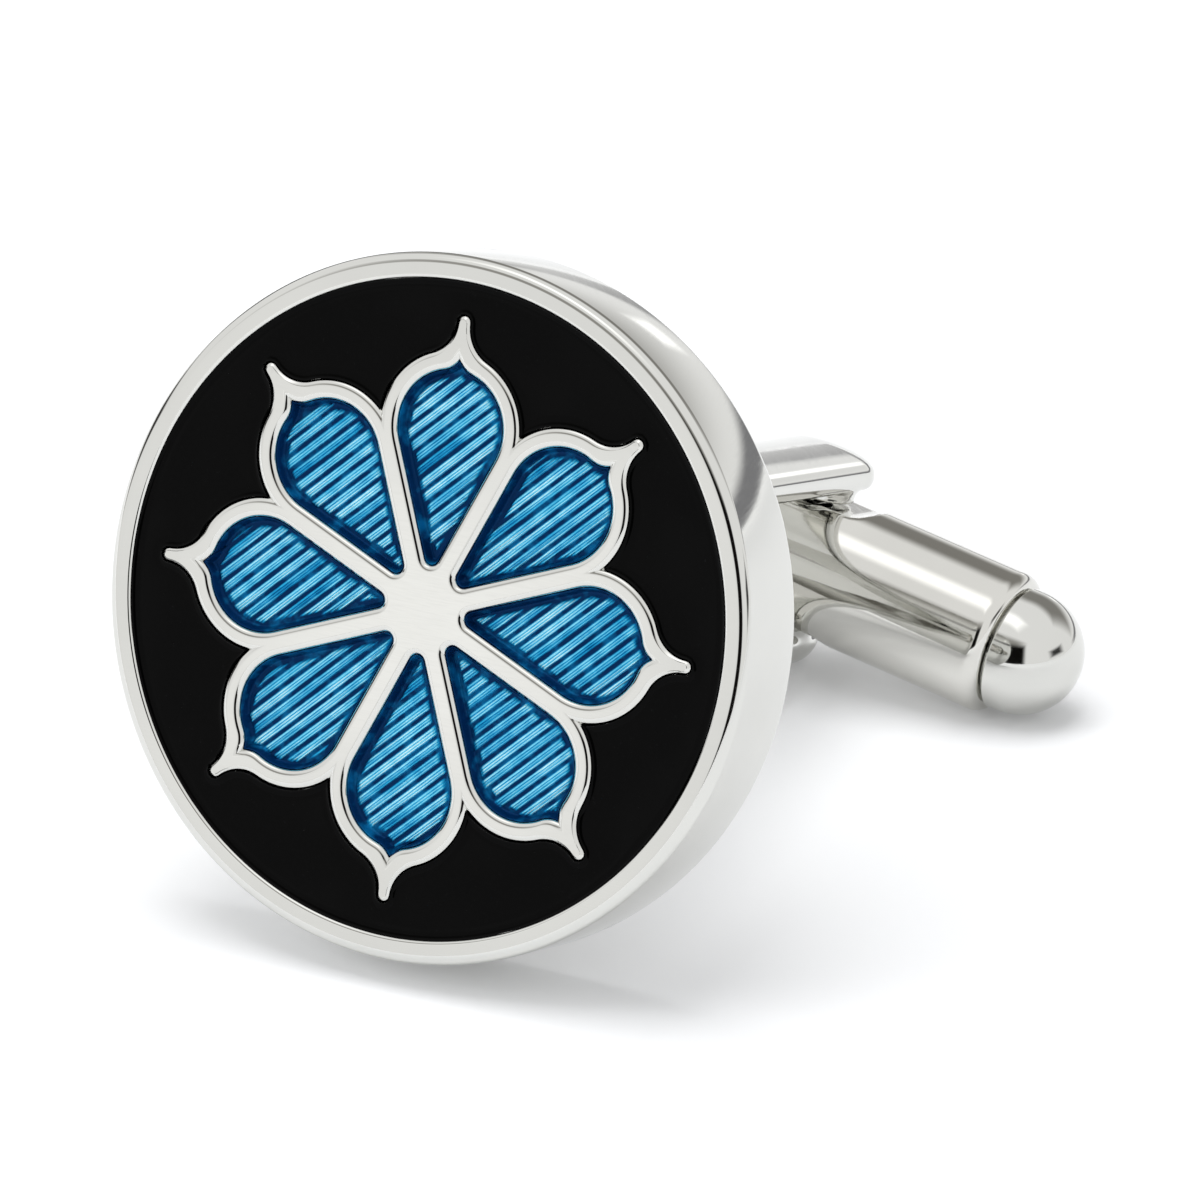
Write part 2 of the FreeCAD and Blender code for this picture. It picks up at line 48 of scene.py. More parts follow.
# The link as it was drawn on the bench: Z runs from the disc's back to the toggle, Y through the fork's arms,
# X along the toggle. The face has its own axes: u and v in the face, h out of it from the disc's back.
hinge = frame["joints"][0]
mounts = {mount["name"]: mount for mount in frame["record"]["mounts"]}
faceOut = Vector(mounts["face_rim"]["axis"]).normalized()
armLine = Vector(hinge["axis"]).normalized()
toggleLine = armLine.cross(-faceOut)
pivot = Vector(hinge["pos_m"])
pivotHeight = 18.8  # from the disc's back, in millimetres
discBack = pivot + faceOut * pivotHeight * mm


def axesMatrix(x, y, z, origin):
    columns = Matrix((x, y, z)).transposed() * mm
    return Matrix.Translation(origin) @ columns.to_4x4()


benchToRow = axesMatrix(toggleLine, armLine, -faceOut, discBack)
faceToRow = axesMatrix(toggleLine, -armLine, faceOut, discBack)
toggleToRow = axesMatrix(toggleLine, armLine, -faceOut, pivot)
print("frame loaded, nodes:", len(nodes))


# Materials: the sizes of their patterns are in millimetres
def linear(code):
    # sRGB hex to linear colour
    values = [int(code[i:i + 2], 16) / 255 for i in (1, 3, 5)]
    return tuple(v / 12.92 if v <= 0.04045 else ((v + 0.055) / 1.055) ** 2.4 for v in values) + (1.0,)


def addNode(tree, kind, settings=None, links=None, stops=()):
    # a node with its settings; a key that is a socket's name or number sets or links that input,
    # and stops are the places and hex colours of a ramp, whose first two stops are there already
    node = tree.nodes.new(kind)
    for key, value in (settings or {}).items():
        if isinstance(key, str) and hasattr(node, key) and key not in node.inputs:
            setattr(node, key, value)
        else:
            node.inputs[key].default_value = value
    for key, source in (links or {}).items():
        tree.links.new(source, node.inputs[key])
    for i, (place, code) in enumerate(stops):
        elements = node.color_ramp.elements
        element = elements[i] if i < 2 else elements.new(place)
        element.position = place
        element.color = linear(code)
    return node


def newMaterial(name):
    material = bpy.data.materials.new(name)
    material.use_nodes = True
    material.node_tree.nodes.clear()
    return material, material.node_tree


# the wheel marks are drawn coarser than real ones, to show
plating = {
    "haze": 2.2, "marks": 0.6, "marksTurn": (0.3, 0.5, 0.9), "marksStretch": (1.0, 1.0, 14.0), "waves": 3.5,
}


def polishedNickel(name, pale, deep, roughLow, roughHigh, waviness):
    # bright nickel plate, buffed by hand: a mirror with a faint haze, slow waves and hair-fine wheel marks
    material, tree = newMaterial(name)
    place = addNode(tree, "ShaderNodeTexCoord").outputs["Object"]
    haze = addNode(tree, "ShaderNodeTexNoise",
                   {"Scale": 1 / (plating["haze"] * mm), "Detail": 3.0}, {"Vector": place})
    wheel = addNode(tree, "ShaderNodeMapping",
                    {"Rotation": plating["marksTurn"], "Scale": plating["marksStretch"]}, {"Vector": place})
    marks = addNode(tree, "ShaderNodeTexNoise",
                    {"Scale": 1 / (plating["marks"] * mm), "Detail": 2.0}, {"Vector": wheel.outputs[0]})
    colour = addNode(tree, "ShaderNodeValToRGB", links={"Fac": haze.outputs[0]},
                     stops=[(0.3, deep), (0.7, pale)])
    rough = addNode(tree, "ShaderNodeMapRange",
                    {"From Min": 0.35, "From Max": 0.75, "To Min": roughLow, "To Max": roughHigh},
                    {"Value": marks.outputs[0]})
    waves = addNode(tree, "ShaderNodeTexNoise",
                    {"Scale": 1 / (plating["waves"] * mm), "Detail": 1.0}, {"Vector": place})
    bump = addNode(tree, "ShaderNodeBump",
                   {"Strength": 1.0, "Distance": waviness * mm}, {"Height": waves.outputs[0]})
    shader = addNode(tree, "ShaderNodeBsdfPrincipled", {"Metallic": 1.0},
                     {"Base Color": colour.outputs[0], "Roughness": rough.outputs[0],
                      "Normal": bump.outputs[0]})
    addNode(tree, "ShaderNodeOutputMaterial", links={"Surface": shader.outputs[0]})
    return material


def blackGlassEnamel():
    # stoved black enamel: a wet black pool with a faint roll to its surface and a few dust specks
    rollSize, rollDepth, dustSize = 4.0, 0.1, 0.12
    material, tree = newMaterial("black stoved enamel")
    place = addNode(tree, "ShaderNodeTexCoord").outputs["Object"]
    roll = addNode(tree, "ShaderNodeTexNoise",
                   {"Scale": 1 / (rollSize * mm), "Detail": 1.0}, {"Vector": place})
    dust = addNode(tree, "ShaderNodeTexNoise",
                   {"Scale": 1 / (dustSize * mm), "Detail": 2.0}, {"Vector": place})
    colour = addNode(tree, "ShaderNodeValToRGB", links={"Fac": dust.outputs[0]},
                     stops=[(0.0, "#020202"), (0.72, "#040404"), (0.86, "#161618")])
    rough = addNode(tree, "ShaderNodeMapRange", {"To Min": 0.05, "To Max": 0.11}, {"Value": dust.outputs[0]})
    bump = addNode(tree, "ShaderNodeBump",
                   {"Strength": 1.0, "Distance": rollDepth * mm}, {"Height": roll.outputs[0]})
    shader = addNode(tree, "ShaderNodeBsdfPrincipled", {"IOR": 1.45, "Specular IOR Level": 0.06},
                     {"Base Color": colour.outputs[0], "Roughness": rough.outputs[0],
                      "Normal": bump.outputs[0]})
    addNode(tree, "ShaderNodeOutputMaterial", links={"Surface": shader.outputs[0]})
    return material


def blueGlassEnamel():
    # clear blue enamel over engine-turned metal: pale where a crest is near the surface, navy where deep; the pale
    # crests are partly painted sheen of the bright cuts, and the navy band along the walls is partly painted shade
    cloudSize = 0.5
    material, tree = newMaterial("clear blue enamel on ridged metal")
    place = addNode(tree, "ShaderNodeTexCoord").outputs["Object"]
    crestAndSheen = addNode(tree, "ShaderNodeAttribute", {"attribute_name": "crestAndSheen"})
    cloud = addNode(tree, "ShaderNodeTexNoise",
                    {"Scale": 1 / (cloudSize * mm), "Detail": 3.0}, {"Vector": place})
    uneven = addNode(tree, "ShaderNodeMapRange",
                     {"From Min": 0.3, "From Max": 0.7, "To Min": -0.12, "To Max": 0.12},
                     {"Value": cloud.outputs[0]})
    level = addNode(tree, "ShaderNodeMath", {"operation": "ADD", "use_clamp": True},
                    {0: crestAndSheen.outputs["Fac"], 1: uneven.outputs[0]})
    # the ramp's pale stops are partly painted sheen on the cut crests, and its navy end along the walls is partly
    # painted shade
    colour = addNode(tree, "ShaderNodeValToRGB", links={"Fac": level.outputs[0]},
                     stops=[(0.0, "#012c58"), (0.2, "#0a7ab4"), (0.42, "#2aacdb"),
                            (0.72, "#82def8"), (1.0, "#d0f8ff")])
    rough = addNode(tree, "ShaderNodeMapRange", {"To Min": 0.38, "To Max": 0.24}, {"Value": level.outputs[0]})
    shader = addNode(tree, "ShaderNodeBsdfPrincipled",
                     {"Metallic": 0.45, "Specular IOR Level": 0.03,
                      "Coat Weight": 0.05, "Coat Roughness": 0.06, "Coat IOR": 1.5},
                     {"Base Color": colour.outputs[0], "Roughness": rough.outputs[0]})
    addNode(tree, "ShaderNodeOutputMaterial", links={"Surface": shader.outputs[0]})
    return material


def springSteel():
    # tempered strip steel, rolled: dull grey with a grain along its length
    grainSize, grainStretch = 0.8, (1.0, 12.0, 12.0)
    material, tree = newMaterial("rolled spring steel")
    place = addNode(tree, "ShaderNodeTexCoord").outputs["Object"]
    grain = addNode(tree, "ShaderNodeMapping", {"Scale": grainStretch}, {"Vector": place})
    lines = addNode(tree, "ShaderNodeTexNoise",
                    {"Scale": 1 / (grainSize * mm), "Detail": 3.0}, {"Vector": grain.outputs[0]})
    colour = addNode(tree, "ShaderNodeValToRGB", links={"Fac": lines.outputs[0]},
                     stops=[(0.3, "#6f7072"), (0.7, "#9a9b9c")])
    shader = addNode(tree, "ShaderNodeBsdfPrincipled", {"Metallic": 1.0, "Roughness": 0.34},
                     {"Base Color": colour.outputs[0]})
    addNode(tree, "ShaderNodeOutputMaterial", links={"Surface": shader.outputs[0]})
    return material


nickel = polishedNickel("buffed nickel plate", "#d8d8d4", "#d5d5d1",
                        roughLow=0.04, roughHigh=0.09, waviness=0.003)
nickelDrawn = polishedNickel("nickel plate on drawn tube", "#d8d7d2", "#d4d3ce",
                             roughLow=0.045, roughHigh=0.11, waviness=0.005)
nickelBraze = polishedNickel("nickel plate over braze", "#dcd9d2", "#c6c2ba",
                             roughLow=0.09, roughHigh=0.2, waviness=0.03)
blackEnamel = blackGlassEnamel()
blueEnamel = blueGlassEnamel()
spring = springSteel()
print("materials made")


# Mesh helpers: points are in millimetres, in the frame that the matrix takes to the row
def makeMesh(name, points, faces, matrix, attributes=None):
    mesh = bpy.data.meshes.new(name)
    mesh.from_pydata([tuple(p) for p in points], [], [tuple(f) for f in faces])
    for key, values in (attributes or {}).items():
        mesh.attributes.new(key, "FLOAT", "POINT").data.foreach_set("value", np.asarray(values, np.float32))
    mesh.transform(matrix)
    return mesh


def finishMesh(mesh, sharpAngle, merge=0.002):
    # merges doubles, turns the faces outwards and marks the edges that stay sharp
    work = bmesh.new()
    work.from_mesh(mesh)
    bmesh.ops.remove_doubles(work, verts=work.verts, dist=merge * mm)
    bmesh.ops.recalc_face_normals(work, faces=work.faces)
    limit = math.radians(sharpAngle)
    for face in work.faces:
        face.smooth = True
    for edge in work.edges:
        edge.smooth = edge.is_manifold and edge.calc_face_angle(0.0) < limit
    work.to_mesh(mesh)
    work.free()
    return mesh


def modified(mesh, kind, settings, inputs=None):
    # the plain mesh that one modifier makes of the given one
    helper = bpy.data.objects.new("helper", mesh)
    scene.collection.objects.link(helper)
    modifier = helper.modifiers.new("change", kind)
    for key, value in settings.items():
        setattr(modifier, key, value)
    for key, value in (inputs or {}).items():
        modifier[key] = value
    result = bpy.data.meshes.new_from_object(helper.evaluated_get(bpy.context.evaluated_depsgraph_get()))
    bpy.data.objects.remove(helper)
    return result


def weighted(mesh):
    # normals that keep large faces flat beside small rounds
    return modified(mesh, "WEIGHTED_NORMAL", {"keep_sharp": True})


def levelTop(mesh, origin, out, height, margin=0.001):
    # normals at the topmost level look straight out, so that the land between round edges stays flat
    corners = np.zeros(len(mesh.loops), np.int32)
    normals = np.zeros(len(mesh.loops) * 3, np.float32)
    places = np.zeros(len(mesh.vertices) * 3, np.float32)
    mesh.loops.foreach_get("vertex_index", corners)
    mesh.corner_normals.foreach_get("vector", normals)
    mesh.vertices.foreach_get("co", places)
    normals = normals.reshape(-1, 3)
    levels = (places.reshape(-1, 3) - np.array(origin)) @ np.array(out)
    normals[levels[corners] > (height - margin) * mm] = out
    mesh.normals_split_custom_set(normals)


def addPiece(name, mesh, material, body, node):
    mesh.materials.clear()
    mesh.materials.append(material)
    piece = bpy.data.objects.new(name, mesh)
    scene.collection.objects.link(piece)
    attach(piece, body)
    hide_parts(node)


def joined(*parts):
    # several (points, faces) as one
    points, faces = [], []
    for partPoints, partFaces in parts:
        start = len(points)
        points += [tuple(p) for p in partPoints]
        faces += [tuple(i + start for i in f) for f in partFaces]
    return points, faces


def quadRows(rows, count, closed=True):
    # quads between rows of this many points each
    faces = []
    for row in range(rows - 1):
        for i in range(count if closed else count - 1):
            j = (i + 1) % count
            faces.append((row * count + i, row * count + j, (row + 1) * count + j, (row + 1) * count + i))
    return faces


def lathe(profile, steps, axis="z"):
    # turns a run of (radius, height) points; a point at radius 0 closes the end
    points = []
    turns = np.linspace(0, 2 * math.pi, steps, endpoint=False)
    for radius, height in profile:
        ring = [(radius * math.cos(t), radius * math.sin(t), height) for t in turns]
        points += ring if axis == "z" else [(z, x, y) for x, y, z in ring]
    return points, quadRows(len(profile), steps)


def skinBetween(loops, heights, closed=True):
    # quads between loops of equal length, each at its own height
    points = [(x, y, height) for loop, height in zip(loops, heights) for x, y in loop]
    return points, quadRows(len(loops), len(loops[0]), closed)


def bend(centre, radius, start, end, count):
    # points of an arc in degrees, both ends included
    turns = np.radians(np.linspace(start, end, count))
    return [(centre[0] + radius * math.cos(t), centre[1] + radius * math.sin(t)) for t in turns]


def swapped(run):
    # a run drawn along the axis first, as (radius, height) points
    return [(y, x) for x, y in run]


def turnedBy(loop, degrees):
    c, s = math.cos(math.radians(degrees)), math.sin(math.radians(degrees))
    return [(c * x - s * y, s * x + c * y) for x, y in loop]


def insideLoop(loop, x, y):
    # whether a point lies inside a closed loop, by counting the edges to its right
    hits = 0
    for (ax, ay), (bx, by) in zip(loop, loop[1:] + loop[:1]):
        if (ay > y) != (by > y) and x < ax + (bx - ax) * (y - ay) / (by - ay):
            hits += 1
    return hits % 2 == 1


def fillBetween(outline, holes, height):
    # flat triangles inside the outline and outside the holes
    flat, edges = [], []
    for loop in [outline] + holes:
        start = len(flat)
        flat += [Vector(p) for p in loop]
        edges += [(start + i, start + (i + 1) % len(loop)) for i in range(len(loop))]
    insideOnly, tolerance = 1, 1e-6
    verts, _, faces, *_ = delaunay_2d_cdt(flat, edges, [], insideOnly, tolerance)
    kept = []
    for face in faces:
        x, y = sum((verts[i] for i in face), Vector((0, 0))) / len(face)
        if insideLoop(outline, x, y) and not any(insideLoop(hole, x, y) for hole in holes):
            kept.append(tuple(face))
    return [(v.x, v.y, height) for v in verts], kept


# Face disc: rim and back turned in one, and the flower frame that stands in its field
disc = {
    "radius": 8.995, "thick": 3.05, "fieldRadius": 8.35, "fieldFloor": 2.55,
    "frontRound": 0.28, "backRound": 0.36, "rimRound": 0.1, "roundSteps": 8, "rimSteps": 6, "steps": 288,
}
flower = {
    "petals": 8, "turn": 11.0, "spokeWidth": 0.64, "cellRound": 1.46, "cellRoot": 0.2, "cellFloor": 2.63,
    "nibCurve": 0.7, "nibTurn": 16.0, "rootSteps": 11, "roundSteps": 24, "nibSteps": 8,
    "band": 0.52, "spikeCurve": 0.95, "spikeHalf": 0.2, "spikeTop": 0.1,
    "bandSteps": 26, "spikeSteps": 12, "topSteps": 7, "edgeRound": 0.18, "edgeSteps": 10,
}
share = 180.0 / flower["petals"]
shoulder = (flower["spokeWidth"] / 2 + flower["cellRound"]) / math.sin(math.radians(share))


def cellLoop(ease):
    # the blue cell of a petal along u, this far inside its wall
    side = 90 + share
    root = ((flower["spokeWidth"] / 2 + flower["cellRoot"]) / math.sin(math.radians(share)), 0)
    # the round runs out in two hollow curves that meet in a nib
    curve, turn = flower["nibCurve"], math.radians(flower["nibTurn"])
    reach = flower["cellRound"] + curve
    nibX, nibY = shoulder + reach * math.cos(turn), reach * math.sin(turn)
    hollow = curve + max(ease, 0.0)
    last = math.asin(nibY / hollow)
    tip = nibX - hollow * math.cos(last) - min(ease, 0.0) / math.cos(last)
    lower = bend((shoulder, 0), flower["cellRound"] - ease, -side, -flower["nibTurn"], flower["roundSteps"])
    lower += bend((nibX, -nibY), curve + ease, 180 - flower["nibTurn"], 180 - math.degrees(last),
                  flower["nibSteps"])[1:-1]
    upper = [(x, -y) for x, y in reversed(lower)]
    start = bend(root, flower["cellRoot"] - ease, side, 360 - side, flower["rootSteps"])
    return start + lower + [(tip, 0)] + upper


def petalRun(ease):
    # the frame's outer edge over one petal, from valley to valley, this far outside the metal
    lean = math.radians(share)
    outer = flower["cellRound"] + flower["band"] + ease
    hollow = flower["spikeCurve"] - ease
    half = max(flower["spikeHalf"] + ease, flower["spikeTop"])
    reach = math.sqrt(outer ** 2 - (shoulder * math.sin(lean)) ** 2)
    far = shoulder * math.cos(lean) + reach
    meet = math.degrees(math.atan2(far * math.sin(lean), far * math.cos(lean) - shoulder))
    flank = math.degrees(math.asin((hollow + half) / (outer + hollow)))
    spike = shoulder + (outer + hollow) * math.cos(math.radians(flank))
    middle, bandSteps, spikeSteps = (shoulder, 0), flower["bandSteps"], flower["spikeSteps"]
    run = bend(middle, outer, -meet, -flank, bandSteps)
    run += bend((spike, -hollow - half), hollow, 180 - flank, 90, spikeSteps)[1:]
    run += bend((spike, 0), half, -90, 90, flower["topSteps"])[1:-1]
    run += bend((spike, hollow + half), hollow, 270, 180 + flank, spikeSteps)
    return run + bend(middle, outer, flank, meet, bandSteps)[1:]


def petalSector():
    # one petal's share of the frame: rounded edges, walls down to the floors, and the flat top
    top, edge = disc["thick"], flower["edgeRound"]
    turns = np.radians(np.linspace(0, 90, flower["edgeSteps"]))
    insets = [0.0] + [-edge * (1 - math.cos(t)) for t in turns]
    levels = [top - edge + edge * math.sin(t) for t in turns]
    wallOut = skinBetween([petalRun(e) for e in insets], [disc["fieldFloor"]] + levels, closed=False)
    wallIn = skinBetween([cellLoop(e) for e in insets], [flower["cellFloor"]] + levels)
    crown = fillBetween([(0, 0)] + petalRun(-edge), [cellLoop(-edge)], top)
    return joined(wallOut, wallIn, crown)


def groupSocket(tree, name, kind, out=False):
    socket = tree.interface.new_socket(name, in_out="OUTPUT" if out else "INPUT", socket_type=kind)
    return socket.identifier


def petalRing():
    # a node tree that sets one petal's share of the frame round the disc as often as there are petals
    tree = bpy.data.node_groups.new("petal ring", "GeometryNodeTree")
    groupSocket(tree, "Petal", "NodeSocketGeometry")
    kinds = {"Petals": "NodeSocketInt", "Turn": "NodeSocketFloat", "Metal": "NodeSocketMaterial"}
    keys = {name: groupSocket(tree, name, kind) for name, kind in kinds.items()}
    groupSocket(tree, "Frame", "NodeSocketGeometry", out=True)
    inputs = addNode(tree, "NodeGroupInput").outputs
    spots = addNode(tree, "GeometryNodePoints", links={"Count": inputs["Petals"]})
    index = addNode(tree, "GeometryNodeInputIndex")
    step = addNode(tree, "ShaderNodeMath", {"operation": "DIVIDE", 0: 2 * math.pi}, {1: inputs["Petals"]})
    turn = addNode(tree, "ShaderNodeMath", {"operation": "MULTIPLY_ADD"},
                   {0: index.outputs[0], 1: step.outputs[0], 2: inputs["Turn"]})
    spin = addNode(tree, "ShaderNodeCombineXYZ", links={"Z": turn.outputs[0]})
    copies = addNode(tree, "GeometryNodeInstanceOnPoints",
                     links={"Points": spots.outputs[0], "Instance": inputs["Petal"],
                            "Rotation": spin.outputs[0]})
    real = addNode(tree, "GeometryNodeRealizeInstances", links={"Geometry": copies.outputs[0]})
    metal = addNode(tree, "GeometryNodeSetMaterial",
                    links={"Geometry": real.outputs[0], "Material": inputs["Metal"]})
    addNode(tree, "NodeGroupOutput", links={0: metal.outputs[0]})
    return tree, keys


def grown(mesh, tree, keys, values):
    # the plain mesh that a node tree makes of the given one
    inputs = {keys[name]: value for name, value in values.items()}
    return modified(mesh, "NODES", {"node_group": tree}, inputs)


def meshParts(mesh):
    return [tuple(v.co) for v in mesh.vertices], [tuple(p.vertices) for p in mesh.polygons]


def discProfile():
    # half section of the disc from the back's middle, round the rim, to the field's middle
    front, back, rim, steps = (disc[k] for k in ("frontRound", "backRound", "rimRound", "roundSteps"))
    radius, thick, field, floor = (disc[k] for k in ("radius", "thick", "fieldRadius", "fieldFloor"))
    run = [(0.0, 0.0), (radius / 2, 0.0)] + bend((radius - back, back), back, -90, 0, steps)
    run += [(radius, thick / 2)] + bend((radius - front, thick - front), front, 0, 90, steps)
    run += bend((field + rim, thick - rim), rim, 90, 180, disc["rimSteps"])
    return run + [(field, floor), (field / 2, floor), (0.0, floor)]


ringTree, ringKeys = petalRing()
ring = {"Petals": flower["petals"], "Turn": math.radians(flower["turn"]), "Metal": nickel}
frameMesh = grown(makeMesh("sector", *petalSector(), Matrix.Identity(4)), ringTree, ringKeys, ring)
discMesh = makeMesh("faceDisc", *joined(lathe(discProfile(), disc["steps"]), meshParts(frameMesh)), faceToRow)
levelTop(finishMesh(discMesh, sharpAngle=40), discBack, faceOut, disc["thick"])
addPiece("faceDisc", discMesh, nickel, "link", "face_disc")
print("face disc:", len(discMesh.polygons), "faces")

# Black enamel: a pool that climbs a little at every wall
pool = {
    "level": 2.935, "gap": 0.005, "lift": 0.01,
    "climb": (0.0, 0.025, 0.06, 0.11, 0.19, 0.3), "rise": (0.06, 0.034, 0.018, 0.008, 0.002, 0.0),
}


def frameLoop(ease):
    loop = []
    for i in range(flower["petals"]):
        loop += turnedBy(petalRun(ease), flower["turn"] + i * 2 * share)[:-1]
    return loop


def circleLoop(radius, count):
    return bend((0, 0), radius, 0, 360 - 360 / count, count)


def blackPool():
    base = disc["fieldFloor"] + pool["lift"]
    heights = [base] + [pool["level"] + r for r in pool["rise"]]
    insets = [pool["gap"]] + [pool["gap"] + e for e in pool["climb"]]
    inner = [frameLoop(e) for e in insets]
    outer = [circleLoop(disc["fieldRadius"] - e, disc["steps"]) for e in insets]
    top = fillBetween(outer[-1], [inner[-1]], heights[-1])
    bottom = fillBetween(outer[0], [inner[0]], base)
    return joined(skinBetween(inner, heights), skinBetween(outer, heights), top, bottom)


poolMesh = finishMesh(makeMesh("blackPool", *blackPool(), faceToRow), sharpAngle=40)
addPiece("blackPool", poolMesh, blackEnamel, "link", "black_enamel")
print("black enamel:", len(poolMesh.polygons), "faces")

# Blue enamel: each petal's fill over slanting ridges, the same slant in all of them
ridges = {
    "pitch": 0.31, "slant": 55.2, "rowsEach": 18, "columns": 34,
    "floor": 2.70, "height": 0.055, "brim": 2.945,
    # border, ragged and borderFade also set the navy band along the walls, which is partly painted shade
    "border": 0.13, "ragged": 0.14, "borderFade": (-0.02, 0.06), "gap": 0.005, "lift": 0.01, "margin": 1e-4,
    # grain sets how much the painted crest sheen dims in random patches, over the noise range given last on this
    # line
    "uneven": 0.05, "grain": 0.55, "grainStretch": (0.35, 3.2, 1.0), "sheenPatches": (0.3, 0.6),
    # across one ridge: a bare gap, then three strands of a bright cut, whose pale colour is partly painted sheen
    "profile": [(0.0, 0.0), (0.26, 0.03), (0.37, 0.95), (0.49, 0.45), (0.6, 1.0), (0.7, 0.4), (0.8, 0.9),
                (0.91, 0.5), (1.0, 0.0)],
}


def ridgeTree():
    # a node tree that raises slanting ridges on a flat petal and notes how near each point is to a crest, a value
    # that the enamel turns into pale colour that is partly painted sheen
    tree = bpy.data.node_groups.new("engine turning", "GeometryNodeTree")
    groupSocket(tree, "Petal", "NodeSocketGeometry")
    names = ("Pitch", "Slant", "Height", "Border", "Climb", "Uneven", "SheenPatchiness")
    keys = {name: groupSocket(tree, name, "NodeSocketFloat") for name in names}
    keys["Enamel"] = groupSocket(tree, "Enamel", "NodeSocketMaterial")
    groupSocket(tree, "Ridged", "NodeSocketGeometry", out=True)
    inputs = addNode(tree, "NodeGroupInput").outputs
    place = addNode(tree, "GeometryNodeInputPosition")
    # place across the ridges, with a little wander
    turned = addNode(tree, "ShaderNodeVectorRotate", {"rotation_type": "Z_AXIS"},
                     {"Vector": place.outputs[0], "Angle": inputs["Slant"]})
    across = addNode(tree, "ShaderNodeSeparateXYZ", links={0: turned.outputs[0]})
    stretch = addNode(tree, "ShaderNodeVectorMath", {"operation": "MULTIPLY", 1: ridges["grainStretch"]},
                      {0: turned.outputs[0]})
    grain = addNode(tree, "ShaderNodeTexNoise", {"Scale": 1.0, "Detail": 2.0}, {"Vector": stretch.outputs[0]})
    wander = addNode(tree, "ShaderNodeMath", {"operation": "SUBTRACT", 1: 0.5}, {0: grain.outputs[0]})
    drift = addNode(tree, "ShaderNodeMath", {"operation": "MULTIPLY_ADD"},
                    {0: wander.outputs[0], 1: inputs["Uneven"], 2: across.outputs["Y"]})
    turns = addNode(tree, "ShaderNodeMath", {"operation": "DIVIDE"},
                    {0: drift.outputs[0], 1: inputs["Pitch"]})
    phase = addNode(tree, "ShaderNodeMath", {"operation": "FRACT"}, {0: turns.outputs[0]})
    line = addNode(tree, "ShaderNodeMath", {"operation": "FLOOR"}, {0: turns.outputs[0]})
    form = addNode(tree, "ShaderNodeFloatCurve", links={"Value": phase.outputs[0]})
    curve = form.mapping.curves[0]
    for spot, level in ridges["profile"][1:-1]:
        curve.points.new(spot, level)
    curve.points[0].location = ridges["profile"][0]
    curve.points[-1].location = ridges["profile"][-1]
    form.mapping.update()
    # each ridge stops short of the wall by its own length, and there the colour falls to navy, partly as painted
    # shade along the cell's walls
    edge = addNode(tree, "GeometryNodeInputNamedAttribute", {"Name": "edge"})
    ragged = addNode(tree, "ShaderNodeTexWhiteNoise", {"noise_dimensions": "1D"}, {"W": line.outputs[0]})
    border = addNode(tree, "ShaderNodeMath", {"operation": "MULTIPLY_ADD", 1: ridges["ragged"]},
                     {0: ragged.outputs[0], 2: inputs["Border"]})
    clear = addNode(tree, "ShaderNodeMath", {"operation": "SUBTRACT"},
                    {0: edge.outputs[0], 1: border.outputs[0]})
    fadeStart, fadeEnd = ridges["borderFade"]
    inside = addNode(tree, "ShaderNodeMapRange",
                     {"interpolation_type": "SMOOTHSTEP", "From Min": fadeStart, "From Max": fadeEnd},
                     {"Value": clear.outputs[0]})
    # in random patches the crests carry less of the painted sheen
    sheenLow, sheenHigh = ridges["sheenPatches"]
    sheenPatches = addNode(tree, "ShaderNodeMapRange", {"From Min": sheenLow, "From Max": sheenHigh},
                   {"Value": grain.outputs[0]})
    plain = addNode(tree, "ShaderNodeMath", {"operation": "SUBTRACT", 0: 1.0}, {1: inputs["SheenPatchiness"]})
    strength = addNode(tree, "ShaderNodeMath", {"operation": "MULTIPLY_ADD"},
                       {0: sheenPatches.outputs[0], 1: inputs["SheenPatchiness"], 2: plain.outputs[0]})
    crestAndSheen = addNode(tree, "ShaderNodeMath", {"operation": "MULTIPLY"},
                    {0: form.outputs[0], 1: inside.outputs[0]})
    bright = addNode(tree, "ShaderNodeMath", {"operation": "MULTIPLY"},
                     {0: crestAndSheen.outputs[0], 1: strength.outputs[0]})
    # the ridges rise from the floor, and the enamel climbs to its brim at the wall
    climb = addNode(tree, "ShaderNodeMapRange",
                    {"interpolation_type": "SMOOTHSTEP", "From Min": 0.0, "To Min": 1.0, "To Max": 0.0},
                    {"Value": edge.outputs[0], "From Max": inputs["Border"]})
    brim = addNode(tree, "ShaderNodeMath", {"operation": "MULTIPLY"},
                   {0: climb.outputs[0], 1: inputs["Climb"]})
    lift = addNode(tree, "ShaderNodeMath", {"operation": "MULTIPLY_ADD"},
                   {0: crestAndSheen.outputs[0], 1: inputs["Height"], 2: brim.outputs[0]})
    rise = addNode(tree, "ShaderNodeCombineXYZ", links={"Z": lift.outputs[0]})
    raised = addNode(tree, "GeometryNodeSetPosition",
                     links={"Geometry": inputs["Petal"], "Offset": rise.outputs[0]})
    # the stored value sets the enamel's colour, pale where it paints sheen on the crests
    noted = addNode(tree, "GeometryNodeStoreNamedAttribute", {"Name": "crestAndSheen"},
                    {"Geometry": raised.outputs[0], "Value": bright.outputs[0]})
    real = addNode(tree, "GeometryNodeRealizeInstances", links={0: noted.outputs[0]})
    enamel = addNode(tree, "GeometryNodeSetMaterial",
                     links={"Geometry": real.outputs[0], "Material": inputs["Enamel"]})
    addNode(tree, "NodeGroupOutput", links={0: enamel.outputs[0]})
    return tree, keys


